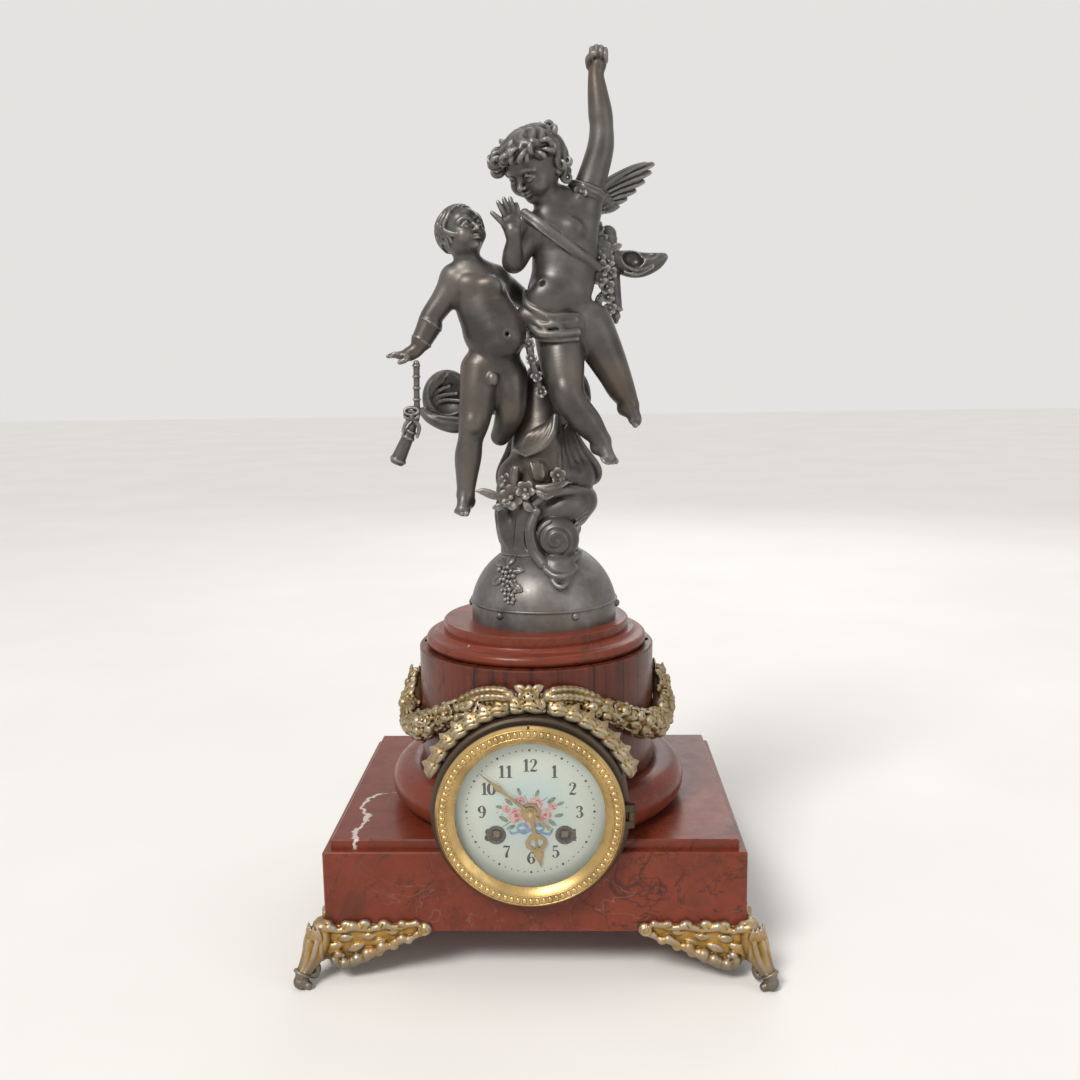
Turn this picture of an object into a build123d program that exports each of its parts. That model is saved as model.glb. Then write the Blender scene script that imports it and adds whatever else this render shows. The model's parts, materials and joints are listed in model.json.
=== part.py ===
from build123d import *
import math
import os

# A figural mantel clock in red marble, with a patinated figure group, gilt mounts and an
# eight day movement.
# Millimetres, +Z up, front towards -Y, origin on the table under the middle of the plinth.

# Stone case
block_w = 290.0
block_d = 223.0
block_h = 57.3
block_base = 34.1
slab_inset = 5.2
slab_h = 7.0
stone_edge = 1.0
torus_out = 7.6
torus_t = 15.2
torus_bore_in = 16.9
drum_x = 0.5
drum_y = -13.8
drum_r = 86.9
drum_wall = 20.0
drum_top = 215.4
cornice_in = 5.1
cornice_foot_in = 8.4
cornice_h = 11.6
cornice_bold = 0.72
cornice_neck = 4.0
cornice_hollow = 0.6
disc_in = 18.4
disc_h = 7.0
seat_gap = 0.1

# Fixings of the stone and the figure group
tie_in = 9.9
tie_r = 3.0
tie_clear = 0.3
tie_short = 1.0
nut_r = 5.6
nut_h = 5.0
nut_pocket_r = 7.0
nut_pocket_h = 8.0
thread_clear = 0.05
stud_r = 4.0
stud_below = 11.0
stud_above = 26.0

# Feet
foot_out = 14.4
foot_pad_r = 5.0
foot_pad_h = 5.0
foot_leg_r = 9.0
foot_toe_swell = 1.5
foot_shin_out = 6.0
foot_shin_high = 0.75
foot_shin_thin = 0.8
foot_knee_in = 3.0
foot_knee_swell = 2.0
foot_bend_out = 2.5
foot_bend_rise = 6.0
foot_top_out = 0.5
foot_top_r = 6.0
foot_top_rise = 1.0
foot_plate_t = 5.0
foot_reach = 72.0
foot_leaf_top = [(0.35, 0.75), (1.0, 0.5)]
foot_leaf_low = [(1.0, 0.97), (0.55, 0.853), (0.25, 0.5), (0.0, 0.36)]
foot_lap = 7.0
foot_flange_t = 4.0
foot_flange_reach = 0.8
foot_flange_w = 18.0
foot_screw_r = 2.0
foot_screw_depth = 12.0
foot_screw_head_r = 3.8
foot_screw_head_h = 2.4
foot_screw_in = 11.0
foot_screw_along = 42.0

# Dome and figure group
group_x = 6.6
limb_inset = 0.96
limb_taper = 0.999
dome_r = 53.45
dome_band_h = 15.0
dome_h = 49.5
dome_seat_r = 28.5
dome_belly = 0.72
dome_lean = (0.8, 0.6)
dome_wall = 4.0
dome_bead = 1.2
rivet_r = 3.0
rivet_count = 6
rivet_z = 10.0
rivet_turn = 26.0

# Clock case
clock_x = -1.6
clock_z = 121.9
plate_room = 8.0
tube_wall = 1.5
tube_clear = 0.5
frame_wall = 9.5
frame_proud = 18.3
frame_deep = 62.0
tube_recess = 2.0
ring_in = 3.3
ring_t = 6.8
ring_lift = 0.2
lip_in_r = 2.2
lip_back_y = 2.6
sight_edge = 0.8
slope_w = 5.2
slope_mid = 1.7
ring_w = 13.2
glass_t = 1.5
glass_lap = 3.0
glass_rise = 4.0
glass_seat = 1.8
glass_foot_in = 0.6
notch_w = 1.6
notch_deep = 6.5
hinge_out = 3.8
hinge_r = 2.4
pin_r = 1.2
pin_clear = 0.05
knuckle_h = 6.0
knuckle_gap = 0.3
knuckle_arm = 4.7
knuckle_in = 3.0
knuckle_deep = 4.0
arm_in = 2.0
cut_over = 1.0
bezel_hinge_back = 1.3
rear_ring_out = 4.5
rear_ring_in = 11.5
rear_ring_t = 3.0
rear_door_in = 2.0
rear_door_t = 2.0
rear_door_lift = 0.3
rear_knob_r = 3.0
rear_knob_in = 8.0
rear_knob_h = 2.0
rear_hinge_out = 4.5
strap_in = 2.0
strap_t = 1.6
strap_w = 10.0
strap_lug = 6.0
strap_lug_deep = 12.0
strap_screw_r = 1.25
strap_screw_head_r = 2.6
strap_screw_sunk = 0.2
strap_screw_in = 1.0

# Dial and hands
dial_plate_clear = 0.3
dial_plate_t = 1.5
dial_plate_back = 8.0
dial_in = 1.7
dial_t = 1.2
dial_rise = 1.2
dial_hole_r = 3.6
wind_x = 23.2
wind_z = -16.3
wind_hole_r = 5.7
grommet_bore = 4.5
grommet_lip = 0.9
grommet_rise = 0.3
grommet_lift = 0.02
dial_foot_r = 2.0
dial_foot_places = [(0.0, 43.0), (34.0, -30.0), (-34.0, -30.0)]
hand_t = 0.7
hour_hub_r = 6.6
hour_len = 40.0
minute_hub_r = 4.4
minute_len = 45.0
minute_tail = 19.0
hand_gap = 0.5
hand_arbor_over = 1.6
hour_angle = 170.0
minute_angle = 310.0

# Movement plates
plate_margin = 0.57
plate_t = 3.0
motion_gap = 9.0
train_gap = 36.0
pillar_r = 2.5
pillar_end_r = 1.5
pillar_nut_r = 3.2
pillar_nut_h = 3.0
pillar_in = 2.6
pillar_turns = [37.9, 142.1, 283.0, 257.0]
run_clear = 0.05
end_shake = 0.3
pivot_r = 0.6
arbor_r = 1.0
fine_arbor_r = 0.8
stud_over = 0.6

# Teeth, shared by every wheel and pinion
tooth_add = 0.8
tooth_ded = 1.05
tooth_root = 0.46
tooth_tip = 0.20

# Going and strike trains: tooth counts and modules
barrel_teeth = 62
barrel_module = 0.6
barrel_r = 17.2
barrel_front = 6.0
barrel_back = 24.0
barrel_wall = 1.2
barrel_tooth_w = 4.0
barrel_arbor_r = 2.5
barrel_core_r = 5.0
wind_square = 4.2
wind_square_short = 1.0
second_pinion = 10
going_second_teeth = 60
strike_second_teeth = 55
fine_module = 0.4
centre_pinion = 10
centre_teeth = 60
third_pinion = 12
going_third_teeth = 60
strike_third_teeth = 50
small_module = 0.35
last_pinion = 10
third_turn = 106.0
strike_third_turn = 130.0
fly_turn = 60.0
wheel_t = 2.0
escape_r = 7.0
escape_teeth = 15
escape_depth = 2.0
escape_root = (0.2, 0.7)
pallet_drop = 10.4
fly_w = 6.0
fly_t = 0.8
fly_span = (20.0, 34.0)
count_r = 12.0
count_gap = 1.0
count_t = 1.5
count_slot = (2.4, 1.4)
spring_t = 0.5
spring_turns = 5

# Motion work
cannon_teeth = 12
minute_teeth = 36
minute_pinion = 10
hour_teeth = 40
cannon_module = 0.5
centre_arbor_r = 1.8
hand_arbor_r = 1.5
hour_pipe_t = 1.0
hour_wheel_gap = 1.4
hour_wheel_t = 1.6
hour_over = 0.3
hand_fit = 0.02

# Ratchets and clicks
ratchet_r = 8.0
ratchet_depth = 1.2
ratchet_teeth = 18
ratchet_back = 0.12
ratchet_t = 2.0
click_stud_r = 1.2
click_hub_r = 2.8
click_away = 12.4
click_turn = 20.0
click_arm = 9.6
click_w = 1.2
click_gap = 0.35

# Pendulum, hammer and bell
pendulum_z = 42.0
pendulum_behind = 10.0
pendulum_pin_r = 0.8
pendulum_eye_r = 3.0
pendulum_rod_r = 1.1
bob_z = -36.0
bob_r = 14.0
bob_t = 8.0
bob_bulge = (0.72, 0.3)
rating_nut_r = 2.4
rating_nut_h = 3.0
fork_z = 18.0
fork_gap = 0.4
fork_half = 1.0
fork_over = 3.0
crutch_gap = 1.5
crutch_hub_r = 1.8
cock_w = 8.0
cock_z = 38.0
cock_over = 4.5
bell_r = 33.0
bell_t = 1.6
bell_mouth = 25.0
bell_depth = 32.0
bell_flare = 1.5
bell_shoulder = 20.0
bell_post = (42.0, 2.0)
bell_post_r = 2.2
bell_bolt_r = 1.5
bell_bolt_clear = 0.2
bell_foot_out = 1.8
bell_foot_t = 1.5
bell_nut_in = 1.2
bell_nut_r = 3.4
bell_nut_h = 2.6
hammer_x = -38.0
hammer_z = 15.0
hammer_gap = 1.2
hammer_head_r = 3.2
hammer_turn = 135.0
hammer_arm_gap = 3.0
hammer_arm_t = 1.6
hammer_hub_r = 2.4
hammer_arm_half = 1.2
hammer_stem_r = 1.5
hammer_head_span = (-3.0, 6.0)

# Radii of the stone rounds, worked out from the drum
torus_r = drum_r + torus_out
torus_bore = drum_r - torus_bore_in
cornice_r = drum_r - cornice_in
cornice_foot_r = drum_r - cornice_foot_in
disc_r = drum_r - disc_in
tie_x = drum_r - tie_in

# Radii of the clock case, worked out from the reach of the two barrels
barrel_away = math.hypot(wind_x, wind_z)
barrel_tip = barrel_module * (barrel_teeth / 2 + tooth_add)
plate_r = round(barrel_away + barrel_tip + plate_margin, 1)
tube_r = plate_r + plate_room + tube_wall
frame_r = tube_r + frame_wall
ring_r = frame_r - ring_in
sight_r = ring_r - ring_w
rear_ring_r = tube_r + rear_ring_out
rear_ring_bore = tube_r - rear_ring_in
rear_door_r = rear_ring_r - rear_door_in

# Levels worked out from the sizes above
block_top = block_base + block_h
slab_top = block_top + slab_h
torus_seat = slab_top + torus_t + math.sqrt(torus_t ** 2 - (torus_r - drum_r) ** 2)
cornice_top = drum_top + cornice_h
disc_top = cornice_top + disc_h
dome_band_top = disc_top + dome_band_h
dome_seat = disc_top + dome_h
corner_x = block_w / 2
corner_y = block_d / 2
passage_r = tube_r + tube_clear
tube_bore = tube_r - tube_wall
strap_x = tube_bore - strap_in
dial_plate_r = tube_bore - dial_plate_clear
dial_r = dial_plate_r - dial_in
drum_front = drum_y - drum_r
frame_front = drum_front - frame_proud
ring_back = frame_front - ring_lift
ring_front = ring_back - ring_t
glass_back = ring_back - glass_seat + glass_t
dial_plate_front = frame_front + dial_plate_back - dial_plate_t
plate_front = dial_plate_front + dial_plate_t + motion_gap
train_front = plate_front + plate_t
train_back = train_front + train_gap
plate_back = train_back + plate_t
pendulum_y = plate_back + pendulum_behind
far = 400.0

# Frames of reference
drum_axis = Axis((drum_x, drum_y, 0), (0, 0, 1))
group_axis = Axis((group_x, drum_y, 0), (0, 0, 1))
clock_axis = Axis((clock_x, 0, clock_z), (0, 1, 0))
drum_section = Plane(origin=(drum_x, drum_y, 0), x_dir=(1, 0, 0), z_dir=(0, -1, 0))
group_section = Plane(origin=(group_x, drum_y, 0), x_dir=(1, 0, 0), z_dir=(0, -1, 0))
clock_section = Plane(origin=(clock_x, 0, clock_z), x_dir=(1, 0, 0), z_dir=(0, 0, 1))
base_align = (Align.CENTER, Align.CENTER, Align.MIN)

os.makedirs("parts", exist_ok=True)


def save(piece, name):
    """Label a finished piece and write it as one file."""
    piece.part.label = name
    export_step(piece.part, f"parts/{name}.step")


def clock_plane(y):
    """A plane across the clock axis: its x is right, its y is up, and it faces the front."""
    return Plane(origin=(clock_x, y, clock_z), x_dir=(1, 0, 0), z_dir=(0, -1, 0))


def polar(r, degrees, centre=(0.0, 0.0)):
    """A point at a radius and an angle from the right, counted anticlockwise as seen from the front."""
    turn = math.radians(degrees)
    return centre[0] + r * math.cos(turn), centre[1] + r * math.sin(turn)


def bearing(start, end):
    """The angle in degrees from one centre to another."""
    return math.degrees(math.atan2(end[1] - start[1], end[0] - start[0]))


def meet(first, first_r, second, second_r, side):
    """Where two circles meet, on the left (+1) or right (-1) of the line from first to second."""
    dx = second[0] - first[0]
    dz = second[1] - first[1]
    gap = math.hypot(dx, dz)
    along = (gap ** 2 + first_r ** 2 - second_r ** 2) / (2 * gap)
    across = side * math.sqrt(first_r ** 2 - along ** 2)
    return first[0] + (along * dx - across * dz) / gap, first[1] + (along * dz + across * dx) / gap


def rod(place, r, y_front, y_back, mode=Mode.ADD):
    """A round bar along the clock's depth, at a place counted from the clock axis."""
    x, z = place
    foot = Plane(origin=(clock_x + x, y_back, clock_z + z), x_dir=(1, 0, 0), z_dir=(0, -1, 0))
    with Locations(foot):
        Cylinder(r, y_back - y_front, align=base_align, mode=mode)


def post(x, y, r, z_low, z_high, mode=Mode.ADD):
    """An upright round bar or hole."""
    with Locations((x, y, z_low)):
        Cylinder(r, z_high - z_low, align=base_align, mode=mode)


def block(x_range, y_range, z_range, mode=Mode.ADD):
    """A box between two corners."""
    middle = [(low + high) / 2 for low, high in (x_range, y_range, z_range)]
    size = [high - low for low, high in (x_range, y_range, z_range)]
    with Locations(tuple(middle)):
        Box(*size, mode=mode)


def clock_block(x_range, y_range, z_range, mode=Mode.ADD):
    """A box whose x and z are counted from the clock axis."""
    block([clock_x + x for x in x_range], y_range, [clock_z + z for z in z_range], mode)


def outline(points, y_front, y_back, mode=Mode.ADD):
    """A flat shape, given by its corners about the clock axis, as thick as from y_front to y_back."""
    with BuildSketch(clock_plane(y_back)) as flat:
        with BuildLine():
            Polyline(*points, close=True)
        make_face()
    extrude(flat.sketch, amount=y_back - y_front, mode=mode)


def turned(points, mode=Mode.ADD):
    """A ring turned about the clock axis, from the corners (radius, y) of its section."""
    with BuildSketch(clock_section) as section:
        with BuildLine():
            Polyline(*points, close=True)
        make_face()
    revolve(section.sketch, axis=clock_axis, mode=mode)


def tooth_ring(teeth, module, phase):
    """The outline of a toothed wheel about (0, 0), with a tooth at the angle phase."""
    pitch_r = teeth * module / 2
    tip_r = pitch_r + tooth_add * module
    root_r = pitch_r - tooth_ded * module
    step = 360.0 / teeth
    points = []
    for tooth in range(teeth):
        middle = phase + tooth * step
        points.append(polar(root_r, middle - tooth_root / 2 * step))
        points.append(polar(tip_r, middle - tooth_tip / 2 * step))
        points.append(polar(tip_r, middle + tooth_tip / 2 * step))
        points.append(polar(root_r, middle + tooth_root / 2 * step))
    return points


def gear(place, teeth, module, towards, y_front, y_back, gap_first=False):
    """A toothed wheel with a tooth, or a gap, facing the wheel or pinion at another place."""
    phase = bearing(place, towards) + (180.0 / teeth if gap_first else 0.0)
    outline([(place[0] + x, place[1] + z) for x, z in tooth_ring(teeth, module, phase)], y_front, y_back)


def reach(first_teeth, second_teeth, module):
    """The distance between the centres of two wheels in mesh."""
    return (first_teeth + second_teeth) * module / 2


def level(depth):
    """The y of a depth counted from the back of the front plate."""
    return train_front + depth


def arbor(place, r=arbor_r):
    """A train arbor between the plates, with a pivot in each plate."""
    rod(place, r, train_front + end_shake, train_back - end_shake)
    rod(place, pivot_r, plate_front, plate_back)


def swell(points):
    """A rounded limb through balls of the given centres and radii, with tapered stretches between them."""
    for (start, start_r), (end, end_r) in zip(points[:-1], points[1:]):
        along = Vector(*end) - Vector(*start)
        with Locations(Plane(origin=start, z_dir=along)):
            Sphere(start_r)
            Cone(start_r * limb_inset, end_r * limb_inset * limb_taper, along.length, align=base_align)
    last, last_r = points[-1]
    with Locations(Plane(origin=last, z_dir=along)):
        Sphere(last_r)


def cap_height(r, edge_r, rise):
    """How far a shallow round cap, of a given edge radius and rise, stands above its edge at radius r."""
    ball_r = (edge_r ** 2 + rise ** 2) / (2 * rise)
    return rise - ball_r + math.sqrt(ball_r ** 2 - r ** 2)


def keep_largest(piece):
    """Keep only the main solid of a piece that was cut by its neighbours."""
    piece.part = Part(piece.part.solids().sort_by(SortBy.VOLUME)[-1].wrapped)


# Train centres, counted from the clock axis
pillar_places = [polar(plate_r - pillar_in, turn) for turn in pillar_turns]
centre_place = (0.0, 0.0)
going_place = (wind_x, wind_z)
strike_place = (-wind_x, wind_z)
barrel_reach = reach(barrel_teeth, second_pinion, barrel_module)
centre_reach = reach(going_second_teeth, centre_pinion, fine_module)
second_place = meet(centre_place, centre_reach, going_place, barrel_reach, 1)
strike_second_place = (-second_place[0], second_place[1])
third_place = polar(reach(centre_teeth, third_pinion, fine_module), third_turn)
escape_reach = reach(going_third_teeth, last_pinion, small_module)
escape_place = (0.0, third_place[1] + math.sqrt(escape_reach ** 2 - third_place[0] ** 2))
pallet_place = (0.0, escape_place[1] + pallet_drop)
strike_third_reach = reach(strike_second_teeth, third_pinion, fine_module)
strike_third_place = polar(strike_third_reach, strike_third_turn, strike_second_place)
fly_place = polar(reach(strike_third_teeth, last_pinion, small_module), fly_turn, strike_third_place)
minute_reach = reach(cannon_teeth, minute_teeth, cannon_module)
hour_module = 2 * minute_reach / (minute_pinion + hour_teeth)
minute_place = (0.0, -minute_reach)
hammer_place = (hammer_x, hammer_z)
small_places = [second_place, third_place, escape_place, pallet_place,
                strike_second_place, strike_third_place, fly_place, hammer_place]
going_click_place = polar(click_away, click_turn, going_place)
strike_click_place = (-going_click_place[0], going_click_place[1])


def tie_holes(z_low, z_high):
    """The two holes that the tie rods pass through."""
    for side in (-1, 1):
        post(drum_x + side * tie_x, drum_y, tie_r + tie_clear, z_low, z_high, Mode.SUBTRACT)


def torus_form(grow, mode=Mode.ADD):
    """The half-round ring round the foot of the drum, larger by grow."""
    with BuildSketch(drum_section) as section:
        with BuildLine():
            Polyline((drum_r, torus_seat + grow), (torus_bore, torus_seat + grow), (torus_bore, slab_top),
                     (torus_r, slab_top))
            ThreePointArc((torus_r, slab_top), (torus_r + torus_t + grow, slab_top + torus_t),
                          (drum_r, torus_seat + grow))
        make_face()
    revolve(section.sketch, axis=drum_axis, mode=mode)


def slab_trim(mode=Mode.SUBTRACT):
    """What lies in front of the slab's front edge."""
    block((-far, far), (-far, -corner_y + slab_inset), (0, far), mode)


foot_screw_places = []
for side_x in (-1, 1):
    for side_y in (-1, 1):
        long_x = (side_x * (corner_x - foot_screw_along), side_y * (corner_y - foot_screw_in))
        long_y = (side_x * (corner_x - foot_screw_in), side_y * (corner_y - foot_screw_along))
        foot_screw_places += [long_x, long_y]

# Plinth block
with BuildPart() as plinth_block:
    block((-corner_x, corner_x), (-corner_y, corner_y), (block_base, block_top))
    chamfer(plinth_block.edges().filter_by(Axis.Z), stone_edge)
    chamfer(plinth_block.faces().sort_by(Axis.Z)[-1].edges(), stone_edge)
    rod((0, 0), passage_r, -far, far, Mode.SUBTRACT)
    tie_holes(0, far)
    for side in (-1, 1):
        post(drum_x + side * tie_x, drum_y, nut_pocket_r, 0, block_base + nut_pocket_h, Mode.SUBTRACT)
    for place in foot_screw_places:
        screw_end = block_base + foot_screw_depth + end_shake
        post(*place, foot_screw_r + thread_clear, 0, screw_end, Mode.SUBTRACT)
save(plinth_block, "plinth_block")

# Slab in two halves, either side of the clock case
with BuildPart() as plinth_slabs:
    block((slab_inset - corner_x, corner_x - slab_inset), (slab_inset - corner_y, corner_y - slab_inset),
          (block_top, slab_top))
    chamfer(plinth_slabs.faces().sort_by(Axis.Z)[-1].edges(), stone_edge)
    rod((0, 0), passage_r, -far, far, Mode.SUBTRACT)
    tie_holes(0, far)
save(plinth_slabs, "plinth_slabs")

# Torus ring in two halves
with BuildPart() as torus_rings:
    torus_form(0.0)
    slab_trim()
    rod((0, 0), passage_r, -far, far, Mode.SUBTRACT)
    tie_holes(0, far)
save(torus_rings, "torus_rings")

# Drum, a thick tube with an arch front and back for the clock case
with BuildPart() as drum:
    post(drum_x, drum_y, drum_r, torus_seat, drum_top)
    chamfer(drum.faces().sort_by(Axis.Z)[-1].edges(), stone_edge)
    post(drum_x, drum_y, drum_r - drum_wall, torus_seat, drum_top, Mode.SUBTRACT)
    rod((0, 0), passage_r, -far, far, Mode.SUBTRACT)
    tie_holes(0, far)
    for side in (-1, 1):
        post(drum_x + side * tie_x, drum_y, nut_pocket_r, drum_top - nut_pocket_h, far, Mode.SUBTRACT)
save(drum, "drum")

# Cornice moulding: a bold round, a step and a cove
with BuildPart() as cornice:
    with BuildSketch(drum_section):
        with BuildLine():
            bold_top = drum_top + cornice_h * cornice_bold
            neck_r = disc_r + cornice_neck
            Polyline((neck_r, cornice_top), (0, cornice_top), (0, drum_top), (cornice_foot_r, drum_top))
            ThreePointArc((cornice_foot_r, drum_top), (cornice_r, (drum_top + bold_top) / 2),
                          (cornice_foot_r, bold_top))
            hollow_r = (cornice_foot_r + neck_r) / 2
            ThreePointArc((cornice_foot_r, bold_top), (hollow_r, bold_top + cornice_hollow),
                          (neck_r, cornice_top))
        make_face()
    revolve(axis=drum_axis)
    post(group_x, drum_y, stud_r + tie_clear, 0, far, Mode.SUBTRACT)
save(cornice, "cornice")

# Disc under the dome
with BuildPart() as top_disc:
    post(drum_x, drum_y, disc_r, cornice_top, disc_top)
    chamfer(top_disc.faces().sort_by(Axis.Z)[-1].edges(), stone_edge)
    post(group_x, drum_y, stud_r + tie_clear, 0, far, Mode.SUBTRACT)
save(top_disc, "top_disc")

# Two tie rods through the stone, one stud up into the figure group, and their nuts
with BuildPart() as tie_rods:
    rod_low = block_base + tie_short
    rod_high = drum_top - tie_short
    stud_low = drum_top - stud_below
    for side in (-1, 1):
        post(drum_x + side * tie_x, drum_y, tie_r, rod_low, rod_high)
    post(group_x, drum_y, stud_r, stud_low, dome_seat + stud_above)
    nut_seats = []
    for side in (-1, 1):
        nut_seats.append((drum_x + side * tie_x, block_base + nut_pocket_h - nut_h, tie_r, nut_r))
        nut_seats.append((drum_x + side * tie_x, drum_top - nut_pocket_h, tie_r, nut_r))
    nut_seats.append((group_x, drum_top - nut_h, stud_r, nut_r * stud_r / tie_r))
    for x, z, bolt_r, corner_r in nut_seats:
        with BuildSketch(Plane(origin=(x, drum_y, z))):
            RegularPolygon(corner_r, 6)
            Circle(bolt_r + thread_clear, mode=Mode.SUBTRACT)
        extrude(amount=nut_h)
save(tie_rods, "tie_rods")


def foot_part(side_x, side_y):
    """A gilt corner foot: a toe, a leg, two leaf brackets on the block's faces and a flange under it."""

    def along(x, y):
        return side_x * (corner_x + x), side_y * (corner_y + y)

    with BuildPart() as foot:
        toe = along(foot_out, foot_out)
        leg_low = block_base - foot_leg_r - foot_flange_t
        post(*toe, foot_pad_r, 0, foot_pad_h)
        shin = along(foot_shin_out, foot_shin_out)
        knee = along(-foot_knee_in, -foot_knee_in)
        bend = along(foot_bend_out, foot_bend_out)
        top = along(foot_top_out, foot_top_out)
        swell([((*toe, foot_pad_h + foot_toe_swell), foot_pad_r + foot_toe_swell),
               ((*shin, leg_low * foot_shin_high), foot_leg_r * foot_shin_thin),
               ((*knee, leg_low + foot_knee_in), foot_leg_r + foot_knee_swell)])
        swell([((*bend, leg_low + foot_bend_rise), foot_leg_r),
               ((*top, block_base + foot_top_rise), foot_top_r)])
        bracket = [(foot_plate_t, block_base + foot_lap)]
        bracket += [(-foot_reach * along_share, block_base + foot_lap * lap_share)
                    for along_share, lap_share in foot_leaf_top]
        bracket += [(-foot_reach * along_share, block_base * base_share)
                    for along_share, base_share in foot_leaf_low]
        bracket.append((foot_plate_t, block_base * foot_leaf_low[-1][1]))
        face_y = Plane(origin=(0, side_y * corner_y, 0), x_dir=(1, 0, 0), z_dir=(0, -1, 0))
        with BuildSketch(face_y) as front_leaf:
            with BuildLine():
                Polyline(*[(side_x * (corner_x + x), z) for x, z in bracket], close=True)
            make_face()
        extrude(front_leaf.sketch, amount=-side_y * foot_plate_t)
        face_x = Plane(origin=(side_x * corner_x, 0, 0), x_dir=(0, 1, 0), z_dir=(1, 0, 0))
        with BuildSketch(face_x) as side_leaf:
            with BuildLine():
                Polyline(*[(side_y * (corner_y + y), z) for y, z in bracket], close=True)
            make_face()
        extrude(side_leaf.sketch, amount=side_x * foot_plate_t)
        flange_long = foot_reach * foot_flange_reach
        for long_x, long_y in ((flange_long, foot_flange_w), (foot_flange_w, flange_long)):
            middle = along(-long_x / 2, -long_y / 2)
            with Locations((*middle, block_base - foot_flange_t / 2)):
                Box(long_x, long_y, foot_flange_t)
        block((-corner_x, corner_x), (-corner_y, corner_y), (block_base, block_top), Mode.SUBTRACT)
        block((-far, far), (-far, far), (-far, 0), Mode.SUBTRACT)
        for place in foot_screw_places:
            screw_seat = block_base - foot_flange_t
            post(*place, foot_screw_r + tie_clear, screw_seat - foot_lap, block_base, Mode.SUBTRACT)
            post(*place, foot_screw_head_r + tie_clear, 0, screw_seat, Mode.SUBTRACT)
    return foot


foot_names = {(-1, -1): "foot_front_left", (1, -1): "foot_front_right",
              (-1, 1): "foot_back_left", (1, 1): "foot_back_right"}
for (side_x, side_y), foot_name in foot_names.items():
    save(foot_part(side_x, side_y), foot_name)

# Screws that hold the feet
with BuildPart() as foot_screws:
    screw_seat = block_base - foot_flange_t
    for place in foot_screw_places:
        post(*place, foot_screw_head_r, screw_seat - foot_screw_head_h, screw_seat)
        post(*place, foot_screw_r, screw_seat, block_base + foot_screw_depth)
save(foot_screws, "foot_screws")


def dome_form(inset, mode=Mode.ADD):
    """The filled form of the dome and its band, smaller by inset."""
    band = dome_r - inset
    crown = dome_seat - inset
    mid_z = (dome_band_top + dome_seat) / 2
    mid_r = dome_seat_r + (dome_r - dome_seat_r) * dome_belly
    with BuildSketch(group_section) as section:
        with BuildLine():
            Polyline((dome_seat_r - inset, crown), (0, crown), (0, disc_top), (band, disc_top),
                     (band, dome_band_top))
            ThreePointArc((band, dome_band_top), (mid_r - inset * dome_lean[0], mid_z - inset * dome_lean[1]),
                          (dome_seat_r - inset, crown))
        make_face()
    revolve(section.sketch, axis=group_axis, mode=mode)


# Dome with a riveted band
with BuildPart() as dome:
    dome_form(0.0)
    with Locations((group_x, drum_y, dome_band_top - dome_bead)):
        Torus(dome_r, dome_bead)
    rivet_plane = Plane(origin=(group_x, drum_y, disc_top + rivet_z))
    with Locations(rivet_plane):
        with PolarLocations(dome_r, rivet_count, start_angle=rivet_turn - 90.0):
            Sphere(rivet_r)
    dome_form(dome_wall, Mode.SUBTRACT)
    post(group_x, drum_y, stud_r + tie_clear, disc_top, far, Mode.SUBTRACT)
save(dome, "dome")

# Cloud and drapery that carry the figures
cloud_foot = [((4.0, -13.8, dome_seat + 10.0), 27.0), ((6.0, -13.0, 325.0), 26.0),
              ((8.0, -11.0, 352.0), 25.0),
              ((6.0, -8.0, 380.0), 19.0), ((6.0, -5.0, 404.0), 15.0), ((11.0, -1.5, 412.5), 12.6)]
cloud_lobes = [((28.0, -10.0, 338.0), 19.0), ((-10.0, -14.0, 338.0), 17.0), ((9.0, -22.0, 366.0), 17.0),
               ((8.0, 8.0, 342.0), 20.0), ((14.0, 10.0, 312.0), 17.0), ((-12.0, 4.0, 306.0), 15.0)]
scroll = [((14.0, -36.0, 297.0), 15.5), ((18.0, -45.0, 281.0), 11.0), ((20.5, -52.0, 268.0), 6.5)]
left_drape = [((-8.0, -1.8, 394.0), 12.0), ((-50.0, -6.8, 397.0), 15.5), ((-71.0, -9.0, 388.0), 9.5)]
bouquet = [((-5.0, -37.0, 332.0), 11.0), ((-22.0, -34.0, 326.0), 6.0), ((-36.0, -36.0, 328.0), 2.5)]
with BuildPart() as cloud_support:
    swell(cloud_foot)
    for centre, r in cloud_lobes:
        with Locations(centre):
            Sphere(r)
    swell(scroll)
    swell(left_drape)
    swell(bouquet)
    dome_form(-seat_gap, Mode.SUBTRACT)
    block((-far, far), (-far, far), (0, disc_top), Mode.SUBTRACT)
    post(group_x, drum_y, stud_r + thread_clear, 0, dome_seat + stud_above + end_shake, Mode.SUBTRACT)
keep_largest(cloud_support)
save(cloud_support, "cloud_support")

# Left figure: torso and head, arm with the torch hand, standing leg, bent leg
left_body = [((-25.0, -30.0, 418.0), 18.0), ((-25.0, -32.0, 440.0), 18.5), ((-35.0, -32.0, 469.0), 17.5),
             ((-42.0, -32.0, 489.0), 9.0), ((-46.6, -33.0, 509.0), 17.5)]
left_arm = [((-52.0, -32.0, 477.0), 10.5), ((-69.0, -36.0, 452.0), 7.8), ((-79.0, -40.0, 430.0), 5.8),
            ((-86.0, -42.0, 426.5), 5.5), ((-99.0, -44.0, 426.5), 2.6)]
left_back_arm = [((-24.0, -21.0, 477.0), 9.5), ((-7.0, -1.0, 467.0), 7.5)]
left_leg = [((-36.0, -33.0, 416.0), 16.0), ((-41.0, -39.0, 380.0), 12.0), ((-46.5, -33.0, 350.0), 9.5),
            ((-47.6, -33.0, 327.0), 7.0), ((-49.0, -42.0, 318.0), 5.0)]
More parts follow.
